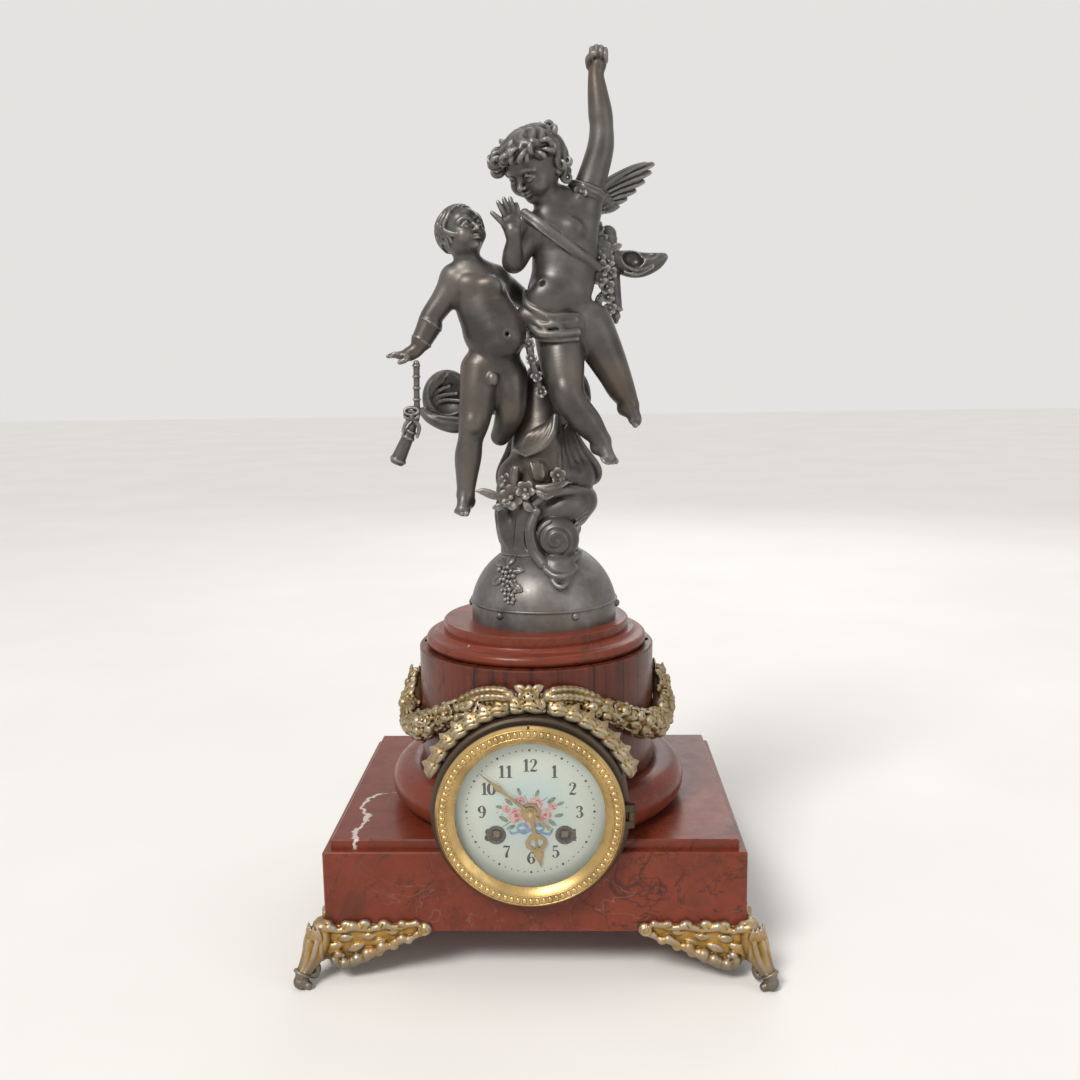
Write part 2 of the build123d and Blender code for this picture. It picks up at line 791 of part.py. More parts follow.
left_bent_leg = [((-17.0, -26.0, 412.0), 14.0), ((-15.2, -28.7, 387.0), 11.0), ((-25.0, -13.0, 366.0), 7.0)]
with BuildPart() as figure_left:
    for limb in (left_body, left_arm, left_back_arm, left_leg, left_bent_leg):
        swell(limb)
save(figure_left, "figure_left")

# Right figure: torso and head, raised arm, open hand, two legs, quiver, sash and flowers
right_body = [((30.0, -16.0, 444.0), 18.5), ((19.0, -19.0, 474.0), 18.5), ((23.0, -16.0, 505.0), 18.0),
              ((18.0, -16.0, 530.0), 10.0), ((3.0, -20.0, 556.0), 26.0)]
right_raised = [((37.0, -9.0, 527.0), 12.0), ((51.0, -10.0, 572.0), 9.0), ((48.0, -10.0, 616.0), 6.0),
                ((50.0, -10.0, 629.0), 7.8)]
right_open = [((4.0, -22.0, 512.0), 10.0), ((-11.5, -31.0, 491.0), 8.0), ((-8.5, -40.0, 508.0), 5.8),
              ((-12.0, -42.0, 519.0), 6.5), ((-13.0, -44.0, 530.0), 3.2)]
right_leg = [((20.0, -19.0, 436.0), 17.0), ((25.0, -37.0, 400.0), 13.0), ((40.0, -40.0, 379.0), 10.5),
             ((49.0, -40.0, 366.0), 7.5), ((57.0, -46.0, 350.0), 5.2)]
right_back_leg = [((42.0, -14.0, 446.0), 16.5), ((58.0, -16.0, 415.0), 12.0), ((69.5, -12.0, 391.0), 7.5),
                  ((77.0, -14.0, 375.0), 5.2)]
right_sash = [((38.0, -2.0, 500.0), 12.0), ((53.0, 3.0, 500.0), 9.5), ((72.0, 8.0, 488.0), 7.0),
              ((94.0, 8.0, 491.0), 5.0)]
right_quiver = [((56.0, 10.0, 514.0), 6.8), ((61.0, 12.0, 455.0), 6.0)]
with BuildPart() as figure_right:
    for limb in (right_body, right_raised, right_open, right_leg, right_back_leg, right_sash, right_quiver):
        swell(limb)
save(figure_right, "figure_right")

# Wings on the right figure's back
wing_shape = [(-4.0, -5.0), (-2.0, 9.0), (22.0, 15.0), (48.0, 14.0), (58.0, 9.0), (54.0, 3.0), (44.0, -2.0),
              (30.0, -5.0), (14.0, -8.0)]
wing_t = 5.0
wing_roots = [((42.0, 8.5, 530.0), (49.0, 17.0, 24.0), (0.35, -1.0, 0.0)),
              ((18.2, -1.9, 528.1), (-26.0, 40.0, 26.0), (0.9, 0.55, 0.0))]
with BuildPart() as wings:
    for root, along, face in wing_roots:
        with BuildSketch(Plane(origin=root, x_dir=along, z_dir=face)):
            with BuildLine():
                Polyline(*wing_shape, close=True)
            make_face()
        extrude(amount=wing_t)
save(wings, "wings")

# Torch hanging from the left figure's hand
torch_stem = [((-79.0, -42.0, 420.9), 2.4), ((-80.3, -40.5, 383.0), 2.2), ((-85.0, -40.0, 374.0), 5.0),
              ((-95.0, -40.0, 353.0), 5.2)]
with BuildPart() as torch:
    swell(torch_stem)
save(torch, "torch")

# Dark bezel frame: a collar shaped to the stone behind it, with the fixed hinge knuckle and pin
with BuildPart() as bezel_frame:
    frame_lip = 1.5
    turned([(tube_r + seat_gap, frame_front), (frame_r - frame_lip, frame_front),
            (frame_r, frame_front + frame_lip), (frame_r, frame_front + frame_deep),
            (tube_r + seat_gap, frame_front + frame_deep)])
    post(drum_x, drum_y, drum_r + seat_gap, torus_seat - seat_gap, far, Mode.SUBTRACT)
    torus_form(seat_gap, Mode.SUBTRACT)
    block((-far, far), (-corner_y, far), (0, slab_top + seat_gap), Mode.SUBTRACT)
    post(drum_x, drum_y, torus_bore + seat_gap, 0, far, Mode.SUBTRACT)
    hinge_x = ring_r + hinge_out
    hinge_y = ring_back - bezel_hinge_back
    knuckle_span = (-knuckle_h / 2, knuckle_h / 2)
    clock_block((hinge_x - knuckle_in, hinge_x), (hinge_y, frame_front + knuckle_deep), knuckle_span)
    pin_half = knuckle_h / 2 + knuckle_gap + knuckle_arm
    post(clock_x + hinge_x, hinge_y, hinge_r, clock_z - knuckle_h / 2, clock_z + knuckle_h / 2)
    post(clock_x + hinge_x, hinge_y, pin_r, clock_z - pin_half, clock_z + pin_half)
keep_largest(bezel_frame)
save(bezel_frame, "bezel_frame")


def hinge_arms(axis_x, axis_y, inner_x, y_range):
    """Two moving knuckles, with the arms that join them to a round door."""
    low = knuckle_h / 2 + knuckle_gap
    for side in (-1, 1):
        ends = sorted((side * low, side * (low + knuckle_arm)))
        clock_block((inner_x, axis_x), y_range, ends)
        post(clock_x + axis_x, axis_y, hinge_r, clock_z + ends[0], clock_z + ends[1])
    post(clock_x + axis_x, axis_y, pin_r + pin_clear, clock_z - far / 4, clock_z + far / 4, Mode.SUBTRACT)


# Gold bezel ring: a lip, a beaded band and a hollow slope down to the sight edge
with BuildPart() as bezel_door:
    glass_rebate = sight_r + glass_lap
    with BuildSketch(clock_section) as ring_section:
        with BuildLine():
            seat_y = ring_back - glass_seat
            slope_y = seat_y - sight_edge
            slope_r = sight_r + slope_w
            Polyline((ring_r - lip_in_r, ring_front), (ring_r, ring_front + lip_back_y),
                     (ring_r, ring_back), (glass_rebate, ring_back), (glass_rebate, seat_y),
                     (sight_r, seat_y),
                     (sight_r, slope_y))
            ThreePointArc((sight_r, slope_y), (sight_r + slope_w / 2, ring_front + slope_mid),
                          (slope_r, ring_front))
            Line((slope_r, ring_front), (ring_r - lip_in_r, ring_front))
        make_face()
    revolve(axis=clock_axis)
    clock_block((-notch_w / 2, notch_w / 2), (ring_front, ring_front + ring_t / 2),
                (ring_r - notch_deep, ring_r + cut_over), Mode.SUBTRACT)
    hinge_arms(hinge_x, hinge_y, ring_r - arm_in, (hinge_y - hinge_r, ring_back - ring_lift))
save(bezel_door, "bezel_door")

# Convex glass in the ring's rebate
with BuildPart() as bezel_glass:
    glass_edge = sight_r + glass_lap - seat_gap
    glass_front = glass_back - glass_t
    dome_foot = sight_r - glass_foot_in
    mid_foot = dome_foot / 2
    mid_rise = cap_height(mid_foot, dome_foot, glass_rise)
    with BuildSketch(clock_section):
        with BuildLine():
            Polyline((0, glass_back - glass_rise), (0, glass_front - glass_rise))
            ThreePointArc((0, glass_front - glass_rise), (mid_foot, glass_front - mid_rise),
                          (dome_foot, glass_front))
            Polyline((dome_foot, glass_front), (glass_edge, glass_front), (glass_edge, glass_back),
                     (dome_foot, glass_back))
            ThreePointArc((dome_foot, glass_back), (mid_foot, glass_back - mid_rise),
                          (0, glass_back - glass_rise))
        make_face()
    revolve(axis=clock_axis)
save(bezel_glass, "bezel_glass")

# Tube that carries the clock through the stone
with BuildPart() as case_tube:
    rod((0, 0), tube_r, frame_front + tube_recess, corner_y)
    rod((0, 0), tube_bore, frame_front + tube_recess, corner_y, Mode.SUBTRACT)
save(case_tube, "case_tube")

# Rear ring on the back of the block, with its fixed knuckle and pin
strap_places = [(strap_x - strap_lug / 2, 0.0), (-strap_x + strap_lug / 2, 0.0)]
with BuildPart() as rear_ring:
    rear_back = corner_y + rear_ring_t
    rear_axis_x = rear_door_r + rear_hinge_out
    rear_axis_y = rear_back + rear_door_lift + rear_door_t / 2
    rod((0, 0), rear_ring_r, corner_y, rear_back)
    rod((0, 0), rear_ring_bore, corner_y, rear_back, Mode.SUBTRACT)
    for place in strap_places:
        rod(place, strap_screw_r + tie_clear, corner_y, rear_back, Mode.SUBTRACT)
        rod(place, strap_screw_head_r + tie_clear, rear_back - rear_ring_t / 2, rear_back, Mode.SUBTRACT)
    clock_block((rear_ring_r - knuckle_in, rear_axis_x), (corner_y, rear_back), knuckle_span)
    clock_block((rear_axis_x - hinge_r, rear_axis_x), (corner_y, rear_axis_y), knuckle_span)
    post(clock_x + rear_axis_x, rear_axis_y, hinge_r, clock_z - knuckle_h / 2, clock_z + knuckle_h / 2)
    post(clock_x + rear_axis_x, rear_axis_y, pin_r, clock_z - pin_half, clock_z + pin_half)
save(rear_ring, "rear_ring")

# Rear door with a pull knob
with BuildPart() as rear_door:
    door_front = rear_back + rear_door_lift
    door_back = door_front + rear_door_t
    rod((0, 0), rear_door_r, door_front, door_back)
    chamfer(rear_door.faces().sort_by(Axis.Y)[-1].edges(), rear_door_t / 3)
    rod((-rear_door_r + rear_knob_in, 0), rear_knob_r, door_back, door_back + rear_knob_h)
    hinge_arms(rear_axis_x, rear_axis_y, rear_door_r - knuckle_in, (door_front, door_back))
save(rear_door, "rear_door")

# Two straps that draw the dial plate and the rear ring together, and their screws
plate_rear = dial_plate_front + dial_plate_t
with BuildPart() as case_straps:
    for side in (-1, 1):
        inner, outer = sorted((side * strap_x, side * (strap_x - strap_t)))
        clock_block((inner, outer), (plate_rear, corner_y), (-strap_w / 2, strap_w / 2))
        lug_in, lug_out = sorted((side * strap_x, side * (strap_x - strap_lug)))
        clock_block((lug_in, lug_out), (corner_y - strap_lug_deep, corner_y), (-strap_w / 2, strap_w / 2))
    for place in strap_places:
        rod(place, strap_screw_r + thread_clear, corner_y - strap_lug_deep, corner_y, Mode.SUBTRACT)
save(case_straps, "case_straps")

with BuildPart() as strap_screws:
    for place in strap_places:
        rod(place, strap_screw_r, corner_y - strap_lug_deep + strap_screw_in, rear_back - strap_screw_sunk)
        rod(place, strap_screw_head_r, rear_back - rear_ring_t / 2, rear_back - strap_screw_sunk)
save(strap_screws, "strap_screws")

# Brass plate behind the dial, with three feet on the front plate
winding_places = [going_place, strike_place]
with BuildPart() as dial_plate:
    rod((0, 0), dial_plate_r, dial_plate_front, plate_rear)
    rod((0, 0), dial_hole_r, dial_plate_front, plate_rear, Mode.SUBTRACT)
    for place in winding_places:
        rod(place, wind_hole_r + tie_clear, dial_plate_front, plate_rear, Mode.SUBTRACT)
    for place in dial_foot_places:
        rod(place, dial_foot_r, plate_rear, plate_front)
save(dial_plate, "dial_plate")

# Porcelain dial, slightly convex
with BuildPart() as dial_face:
    dial_front = dial_plate_front - dial_t
    mid_r = dial_r / 2
    with BuildSketch(clock_section):
        with BuildLine():
            Polyline((0, dial_front - dial_rise), (0, dial_plate_front), (dial_r, dial_plate_front),
                     (dial_r, dial_front))
            ThreePointArc((dial_r, dial_front), (mid_r, dial_front - cap_height(mid_r, dial_r, dial_rise)),
                          (0, dial_front - dial_rise))
        make_face()
    revolve(axis=clock_axis)
    rod((0, 0), dial_hole_r, -far, dial_plate_front, Mode.SUBTRACT)
    for place in winding_places:
        rod(place, wind_hole_r + seat_gap, -far, dial_plate_front, Mode.SUBTRACT)
save(dial_face, "dial_face")

# Grommets in the two winding holes
with BuildPart() as dial_grommets:
    lip_in = barrel_away - wind_hole_r - grommet_lip
    lip_back = dial_front - cap_height(lip_in, dial_r, dial_rise) - grommet_lift
    for place in winding_places:
        rod(place, wind_hole_r, lip_back, plate_rear)
        rod(place, wind_hole_r + grommet_lip, lip_back - grommet_rise, lip_back)
        rod(place, grommet_bore, lip_back - grommet_rise, plate_rear, Mode.SUBTRACT)
save(dial_grommets, "dial_grommets")

# Hands
hour_pipe_r = hand_arbor_r + run_clear + hour_pipe_t
hour_hand_back = dial_front - dial_rise - hand_gap
hour_hand_front = hour_hand_back - hand_t
minute_hand_back = hour_hand_front - 2 * hand_gap
minute_hand_front = minute_hand_back - hand_t
arbor_end = minute_hand_front - hand_arbor_over


def turn_points(points, clockwise):
    """Points drawn for a hand at twelve, turned clockwise by an angle in degrees."""
    turn = math.radians(-clockwise)
    cosine = math.cos(turn)
    sine = math.sin(turn)
    return [(x * cosine - z * sine, x * sine + z * cosine) for x, z in points]


def hand_blade(points, clockwise, y_front, y_back, mode=Mode.ADD):
    """A symmetrical blade: its right edge is given from the hub to the tip."""
    left = [(-x, z) for x, z in reversed(points) if x > 0]
    outline(turn_points(points + left, clockwise), y_front, y_back, mode)


with BuildPart() as hour_hand:
    leaf_half = 7.4
    blade = [(2.0, 3.0), (1.0, 12.0), (1.3, 15.0), (leaf_half * 0.62, 17.0), (leaf_half, 21.0),
             (leaf_half, 24.0),
             (leaf_half * 0.5, 27.5), (2.4, 28.5), (3.4, 31.0), (1.8, 33.5), (0.0, hour_len)]
    window = [(0.9, 18.4), (leaf_half * 0.64, 20.6), (leaf_half * 0.6, 23.6), (0.9, 26.0)]
    hand_blade(blade, hour_angle, hour_hand_front, hour_hand_back)
    for side in (-1, 1):
        outline(turn_points([(side * x, z) for x, z in window], hour_angle), hour_hand_front, hour_hand_back,
                Mode.SUBTRACT)
    rod((0, 0), hour_hub_r, hour_hand_front, hour_hand_back)
    rod((0, 0), hour_pipe_r + hand_fit, hour_hand_front, hour_hand_back, Mode.SUBTRACT)
save(hour_hand, "hour_hand")

with BuildPart() as minute_hand:
    blade = [(1.4, -minute_tail + 2.0), (0.9, -minute_tail + 5.0), (1.1, 0.0), (0.8, 24.0), (2.3, 27.0),
             (1.3, 30.5), (0.9, 32.0), (0.0, minute_len)]
    hand_blade(blade, minute_angle, minute_hand_front, minute_hand_back)
    rod((0, 0), minute_hub_r, minute_hand_front, minute_hand_back)
    rod((0, 0), minute_hub_r * 0.6, minute_hand_front - 1.0, minute_hand_front)
    rod((0, 0), hand_arbor_r + hand_fit, -far, minute_hand_back, Mode.SUBTRACT)
save(minute_hand, "minute_hand")

# Front plate, with studs for the clicks and the minute wheel
motion_back = plate_front - end_shake
ratchet_front = motion_back - ratchet_t
stud_front = plate_rear + stud_over
with BuildPart() as front_plate:
    rod((0, 0), plate_r, plate_front, train_front)
    rod((0, 0), centre_arbor_r + run_clear, plate_front, train_front, Mode.SUBTRACT)
    for place in winding_places:
        rod(place, barrel_arbor_r + run_clear, plate_front, train_front, Mode.SUBTRACT)
    for place in small_places:
        rod(place, pivot_r + run_clear, plate_front, train_front, Mode.SUBTRACT)
    for place in pillar_places:
        rod(place, pillar_end_r + thread_clear, plate_front, train_front, Mode.SUBTRACT)
    for place in (going_click_place, strike_click_place):
        rod(place, click_stud_r, ratchet_front, plate_front)
    rod(minute_place, arbor_r, stud_front, plate_front)
save(front_plate, "front_plate")

# Back plate
with BuildPart() as back_plate:
    rod((0, 0), plate_r, train_back, plate_back)
    for place in winding_places:
        rod(place, barrel_arbor_r + run_clear, train_back, plate_back, Mode.SUBTRACT)
    for place in small_places + [centre_place]:
        rod(place, pivot_r + run_clear, train_back, plate_back, Mode.SUBTRACT)
    for place in pillar_places:
        rod(place, pillar_end_r + thread_clear, train_back, plate_back, Mode.SUBTRACT)
save(back_plate, "back_plate")

# Pillars and their nuts
with BuildPart() as pillars:
    for place in pillar_places:
        rod(place, pillar_r, train_front, train_back)
        rod(place, pillar_end_r, plate_front, plate_back + pillar_nut_h)
        with BuildSketch(clock_plane(plate_back + pillar_nut_h)) as nut:
            with Locations(place):
                RegularPolygon(pillar_nut_r, 6)
                Circle(pillar_end_r + thread_clear, mode=Mode.SUBTRACT)
        extrude(nut.sketch, amount=pillar_nut_h)
save(pillars, "pillars")


def barrel_part(place, next_place):
    """A spring barrel: a closed drum turning on its arbor, with teeth at its rear."""
    with BuildPart() as barrel:
        back = level(barrel_back)
        front = level(barrel_front)
        gear(place, barrel_teeth, barrel_module, next_place, back - barrel_tooth_w, back)
        rod(place, barrel_r, front, back)
        rod(place, barrel_r - barrel_wall, front + barrel_wall, back - barrel_wall, Mode.SUBTRACT)
        rod(place, barrel_arbor_r + run_clear, front, back, Mode.SUBTRACT)
    return barrel


def winding_arbor_part(place):
    """A winding arbor: a square for the key, a ratchet wheel and a core for the mainspring."""
    with BuildPart() as winder:
        rod(place, barrel_arbor_r, ratchet_front - stud_over, plate_back)
        rod(place, barrel_core_r, level(barrel_front) + barrel_wall + end_shake,
            level(barrel_back) - barrel_wall - end_shake)
        saw = []
        for tooth in range(ratchet_teeth):
            saw.append(polar(ratchet_r, tooth * 360.0 / ratchet_teeth, place))
            root_turn = (tooth + ratchet_back) * 360.0 / ratchet_teeth
            saw.append(polar(ratchet_r - ratchet_depth, root_turn, place))
        outline(saw, ratchet_front, motion_back)
        half = wind_square / 2
        square = [(-half, -half), (half, -half), (half, half), (-half, half)]
        square_here = [(place[0] + x, place[1] + z) for x, z in square]
        outline(square_here, dial_plate_front - wind_square_short, ratchet_front)
    return winder


def mainspring_part(place):
    """A mainspring coiled round the core: half circles that step outwards."""
    first_r = barrel_core_r + spring_t / 2 + end_shake
    last_r = barrel_r - barrel_wall - spring_t / 2 - end_shake
    half_turns = 2 * spring_turns
    radii = [first_r + (last_r - first_r) * k / half_turns for k in range(half_turns + 1)]
    with BuildPart() as spring:
        y_front = level(barrel_front) + barrel_wall + end_shake
        y_back = level(barrel_back) - barrel_wall - end_shake
        with BuildSketch(clock_plane(y_back)) as coil:
            with BuildLine():
                for shift in (-spring_t / 2, spring_t / 2):
                    for k in range(half_turns):
                        sign = 1 if k % 2 == 0 else -1
                        start = sign * (radii[k] + shift)
                        end = -sign * (radii[k + 1] + shift)
                        middle = ((start + end) / 2, sign * (radii[k] + radii[k + 1] + 2 * shift) / 2)
                        ThreePointArc((place[0] + start, place[1]), (place[0] + middle[0], place[1] + middle[1]),
                                      (place[0] + end, place[1]))
                for r in (radii[0], radii[-1]):
                    Line((place[0] + r - spring_t / 2, place[1]), (place[0] + r + spring_t / 2, place[1]))
            make_face()
        extrude(coil.sketch, amount=y_back - y_front)
    return spring


def click_part(place, side):
    """A click: a hub on its stud, with an arm that lies along the ratchet wheel."""
    with BuildPart() as click:
        ratchet = (side * going_place[0], going_place[1])
        span = math.hypot(place[0] - ratchet[0], place[1] - ratchet[1])
        lean = math.degrees(math.asin((ratchet_r + click_gap + click_w / 2) / span))
        heading = bearing(place, ratchet) - side * lean
        rod(place, click_hub_r, ratchet_front, motion_back)
        tip = polar(click_arm, heading, place)
        for_width = polar(click_w / 2, heading + 90.0)
        corners = [(place[0] + for_width[0], place[1] + for_width[1]), (tip[0] + for_width[0], tip[1] + for_width[1]),
                   (tip[0] - for_width[0], tip[1] - for_width[1]),
                   (place[0] - for_width[0], place[1] - for_width[1])]
        outline(corners, ratchet_front, motion_back)
        rod(place, click_stud_r + run_clear, ratchet_front, motion_back, Mode.SUBTRACT)
    return click


save(barrel_part(going_place, second_place), "going_barrel")
save(barrel_part(strike_place, strike_second_place), "strike_barrel")
save(winding_arbor_part(going_place), "going_arbor")
save(winding_arbor_part(strike_place), "strike_arbor")
save(mainspring_part(going_place), "going_mainspring")
save(mainspring_part(strike_place), "strike_mainspring")
save(click_part(going_click_place, 1), "going_click")
save(click_part(strike_click_place, -1), "strike_click")

# Levels of the wheels in the train, counted from the front plate
second_wheel_u = 2.0
centre_wheel_u = 28.0
going_third_u = 12.0
strike_third_u = 8.0
escape_u = 18.0
pinion_over = 0.6


def wheel(place, teeth, module, next_place, depth):
    """A train wheel at a depth behind the front plate, with a tooth towards the pinion that it drives."""
    gear(place, teeth, module, next_place, level(depth), level(depth) + wheel_t)


def pinion(place, teeth, module, driver_place, depth, width=wheel_t):
    """A pinion, a little wider than its driving wheel, with a gap towards that wheel."""
    pinion_back = level(depth) + width + pinion_over
    gear(place, teeth, module, driver_place, level(depth) - pinion_over, pinion_back, True)


barrel_u = barrel_back - barrel_tooth_w

# Going train
with BuildPart() as intermediate_wheel:
    arbor(second_place)
    wheel(second_place, going_second_teeth, fine_module, centre_place, second_wheel_u)
    pinion(second_place, second_pinion, barrel_module, going_place, barrel_u, barrel_tooth_w)
save(intermediate_wheel, "intermediate_wheel")

cannon_back = motion_back
cannon_front = cannon_back - wheel_t - 2 * pinion_over
with BuildPart() as centre_arbor:
    rod(centre_place, arbor_r, train_front, train_back - end_shake)
    rod(centre_place, pivot_r, train_back - end_shake, plate_back)
    rod(centre_place, centre_arbor_r, cannon_back, train_front + end_shake)
    wheel(centre_place, centre_teeth, fine_module, third_place, centre_wheel_u)
    pinion(centre_place, centre_pinion, fine_module, second_place, second_wheel_u)
    gear(centre_place, cannon_teeth, cannon_module, minute_place, cannon_front, cannon_back, True)
    rod(centre_place, hand_arbor_r, arbor_end, cannon_front)
save(centre_arbor, "centre_arbor")

with BuildPart() as third_wheel:
    arbor(third_place)
    pinion(third_place, third_pinion, fine_module, centre_place, centre_wheel_u)
    wheel(third_place, going_third_teeth, small_module, escape_place, going_third_u)
save(third_wheel, "third_wheel")

with BuildPart() as escape_wheel:
    arbor(escape_place, fine_arbor_r)
    pinion(escape_place, last_pinion, small_module, third_place, going_third_u)
    points = []
    for tooth in range(escape_teeth):
        points.append(polar(escape_r, tooth * 360.0 / escape_teeth, escape_place))
        for root in escape_root:
            root_turn = (tooth + root) * 360.0 / escape_teeth
            points.append(polar(escape_r - escape_depth, root_turn, escape_place))
    outline(points, level(escape_u), level(escape_u) + wheel_t)
save(escape_wheel, "escape_wheel")

# Pallets on their arbor, with the crutch behind the back plate
crutch_front = plate_back + crutch_gap
crutch_t = 1.2
prong_t = 0.8
prong_in = pendulum_rod_r + fork_gap
with BuildPart() as pallets:
    arbor(pallet_place, fine_arbor_r)
    anchor = [(-7.2, -4.5), (-5.8, -4.8), (-4.2, -2.0), (4.2, -2.0), (5.8, -4.8), (7.2, -4.5), (5.4, 1.4),
              (-5.4, 1.4)]
    outline([(pallet_place[0] + x, pallet_place[1] + z) for x, z in anchor], level(escape_u),
            level(escape_u) + wheel_t)
    rod(pallet_place, pivot_r, plate_back, crutch_front)
    rod(pallet_place, crutch_hub_r, crutch_front, crutch_front + crutch_t)
    crutch_back = crutch_front + crutch_t
    clock_block((-0.8, 0.8), (crutch_front, crutch_back), (fork_z, pallet_place[1]))
    prong_out = prong_in + prong_t
    fork_span = (fork_z - fork_half, fork_z + fork_half)
    clock_block((-prong_out, prong_out), (crutch_front, crutch_back), fork_span)
    for side in (-1, 1):
        ends = sorted((side * prong_in, side * (prong_in + prong_t)))
        clock_block(ends, (crutch_front, pendulum_y + fork_over), fork_span)
save(pallets, "pallets")

# Motion work that drives the hour hand at a twelfth of the minute hand's rate
hour_wheel_back = cannon_front - hour_wheel_gap
hour_wheel_front = hour_wheel_back - hour_wheel_t
with BuildPart() as minute_wheel:
    gear(minute_place, minute_teeth, cannon_module, centre_place, cannon_front + pinion_over,
         cannon_back - pinion_over)
    minute_pinion_front = hour_wheel_front - hour_over
    gear(minute_place, minute_pinion, hour_module, centre_place, minute_pinion_front,
         cannon_front + pinion_over,
         True)
    rod(minute_place, arbor_r + run_clear, -far, plate_front, Mode.SUBTRACT)
save(minute_wheel, "minute_wheel")

with BuildPart() as hour_wheel:
    gear(centre_place, hour_teeth, hour_module, minute_place, hour_wheel_front, hour_wheel_back)
    rod(centre_place, hour_pipe_r, hour_hand_front - hour_over, hour_wheel_back)
    rod(centre_place, hand_arbor_r + run_clear, -far, plate_front, Mode.SUBTRACT)
save(hour_wheel, "hour_wheel")

# Strike train
count_front = plate_back + count_gap
with BuildPart() as strike_second_wheel:
    arbor(strike_second_place)
    wheel(strike_second_place, strike_second_teeth, fine_module, strike_third_place, second_wheel_u)
    pinion(strike_second_place, second_pinion, barrel_module, strike_place, barrel_u, barrel_tooth_w)
    rod(strike_second_place, pivot_r, plate_back, count_front + count_t)
    rod(strike_second_place, count_r, count_front, count_front + count_t)
    with BuildSketch(clock_plane(count_front + count_t)) as count_slots:
        with Locations(strike_second_place):
            with PolarLocations(count_r, 12):
                Rectangle(*count_slot)
    extrude(count_slots.sketch, amount=count_t, mode=Mode.SUBTRACT)
save(strike_second_wheel, "strike_second_wheel")

with BuildPart() as strike_third_wheel:
    arbor(strike_third_place)
    pinion(strike_third_place, third_pinion, fine_module, strike_second_place, second_wheel_u)
    wheel(strike_third_place, strike_third_teeth, small_module, fly_place, strike_third_u)
save(strike_third_wheel, "strike_third_wheel")

with BuildPart() as strike_fly:
    arbor(fly_place, fine_arbor_r)
    pinion(fly_place, last_pinion, small_module, strike_third_place, strike_third_u)
    fly_blade = [(-fly_w, -fly_t / 2), (fly_w, -fly_t / 2), (fly_w, fly_t / 2), (-fly_w, fly_t / 2)]
    blade_here = [(fly_place[0] + x, fly_place[1] + z) for x, z in fly_blade]
    outline(blade_here, level(fly_span[0]), level(fly_span[1]))
save(strike_fly, "strike_fly")

# Bell on its stand, and the hammer beside its rim
bell_front = plate_back + bell_mouth
bell_back = bell_front + bell_depth
with BuildPart() as bell:
    with BuildSketch(clock_section):
        with BuildLine():
            bolt_r = bell_bolt_r + bell_bolt_clear
            waist_r = bell_r - bell_flare
            bend = bell_shoulder * (1 - math.sqrt(0.5))
            inner_bend = (bell_shoulder - bell_t) * (1 - math.sqrt(0.5)) + bell_t
            Polyline((bell_r - bell_t, bell_front), (bell_r, bell_front),
                     (waist_r, bell_back - bell_shoulder))
            ThreePointArc((waist_r, bell_back - bell_shoulder), (waist_r - bend, bell_back - bend),
                          (waist_r - bell_shoulder, bell_back))
            Polyline((waist_r - bell_shoulder, bell_back), (bolt_r, bell_back), (bolt_r, bell_back - bell_t),
                     (waist_r - bell_shoulder, bell_back - bell_t))
            ThreePointArc((waist_r - bell_shoulder, bell_back - bell_t),
                          (waist_r - inner_bend, bell_back - inner_bend),
                          (waist_r - bell_t, bell_back - bell_shoulder))
            Line((waist_r - bell_t, bell_back - bell_shoulder), (bell_r - bell_t, bell_front))
        make_face()
    revolve(axis=clock_axis)
save(bell, "bell")

with BuildPart() as bell_stand:
    arm_t = 3.0
    rod(bell_post, bell_post_r, plate_back, bell_back + arm_t)
    rod(bell_post, bell_post_r + bell_foot_out, plate_back, plate_back + bell_foot_t)
    clock_block((0, bell_post[0]), (bell_back, bell_back + arm_t), (-bell_post_r, bell_post_r))
    rod((0, 0), 4.0, bell_back, bell_back + arm_t)
    rod((0, 0), 1.5, bell_back - 7.0, bell_back)
    with BuildSketch(clock_plane(bell_back - bell_t - bell_nut_in)) as bell_nut:
        RegularPolygon(bell_nut_r, 6)
        Circle(bell_bolt_r + thread_clear, mode=Mode.SUBTRACT)
    extrude(bell_nut.sketch, amount=bell_nut_h)
save(bell_stand, "bell_stand")

head_place = polar(bell_r + hammer_gap + hammer_head_r, hammer_turn)
hammer_arm_front = plate_back + hammer_arm_gap
hammer_arm_y = (hammer_arm_front, hammer_arm_front + hammer_arm_t)
with BuildPart() as hammer:
    arbor(hammer_place)
    rod(hammer_place, pivot_r, plate_back, hammer_arm_y[1])
    rod(hammer_place, hammer_hub_r, *hammer_arm_y)
    heading = bearing(hammer_place, head_place)
    half = polar(hammer_arm_half, heading + 90.0)
    arm = [(place[0] + side * half[0], place[1] + side * half[1])
           for place, side in ((hammer_place, 1), (head_place, 1), (head_place, -1), (hammer_place, -1))]
    outline(arm, *hammer_arm_y)
    rod(head_place, hammer_stem_r, hammer_arm_front, bell_front + hammer_head_span[0])
    rod(head_place, hammer_head_r, *[bell_front + y for y in hammer_head_span])
save(hammer, "hammer")

# Pendulum on a pin under the suspension cock
with BuildPart() as suspension_cock:
    cock_t = 3.0
    cock_span = (cock_z, pendulum_z + cock_over)
    clock_block((-cock_w / 2, cock_w / 2), (plate_back, plate_back + cock_t), cock_span)
    rod((0, pendulum_z), pendulum_pin_r, plate_back + cock_t, pendulum_y + 5.0)
    rod((0, pendulum_z), pendulum_pin_r + 1.2, plate_back + cock_t, pendulum_y - 3.0)
save(suspension_cock, "suspension_cock")

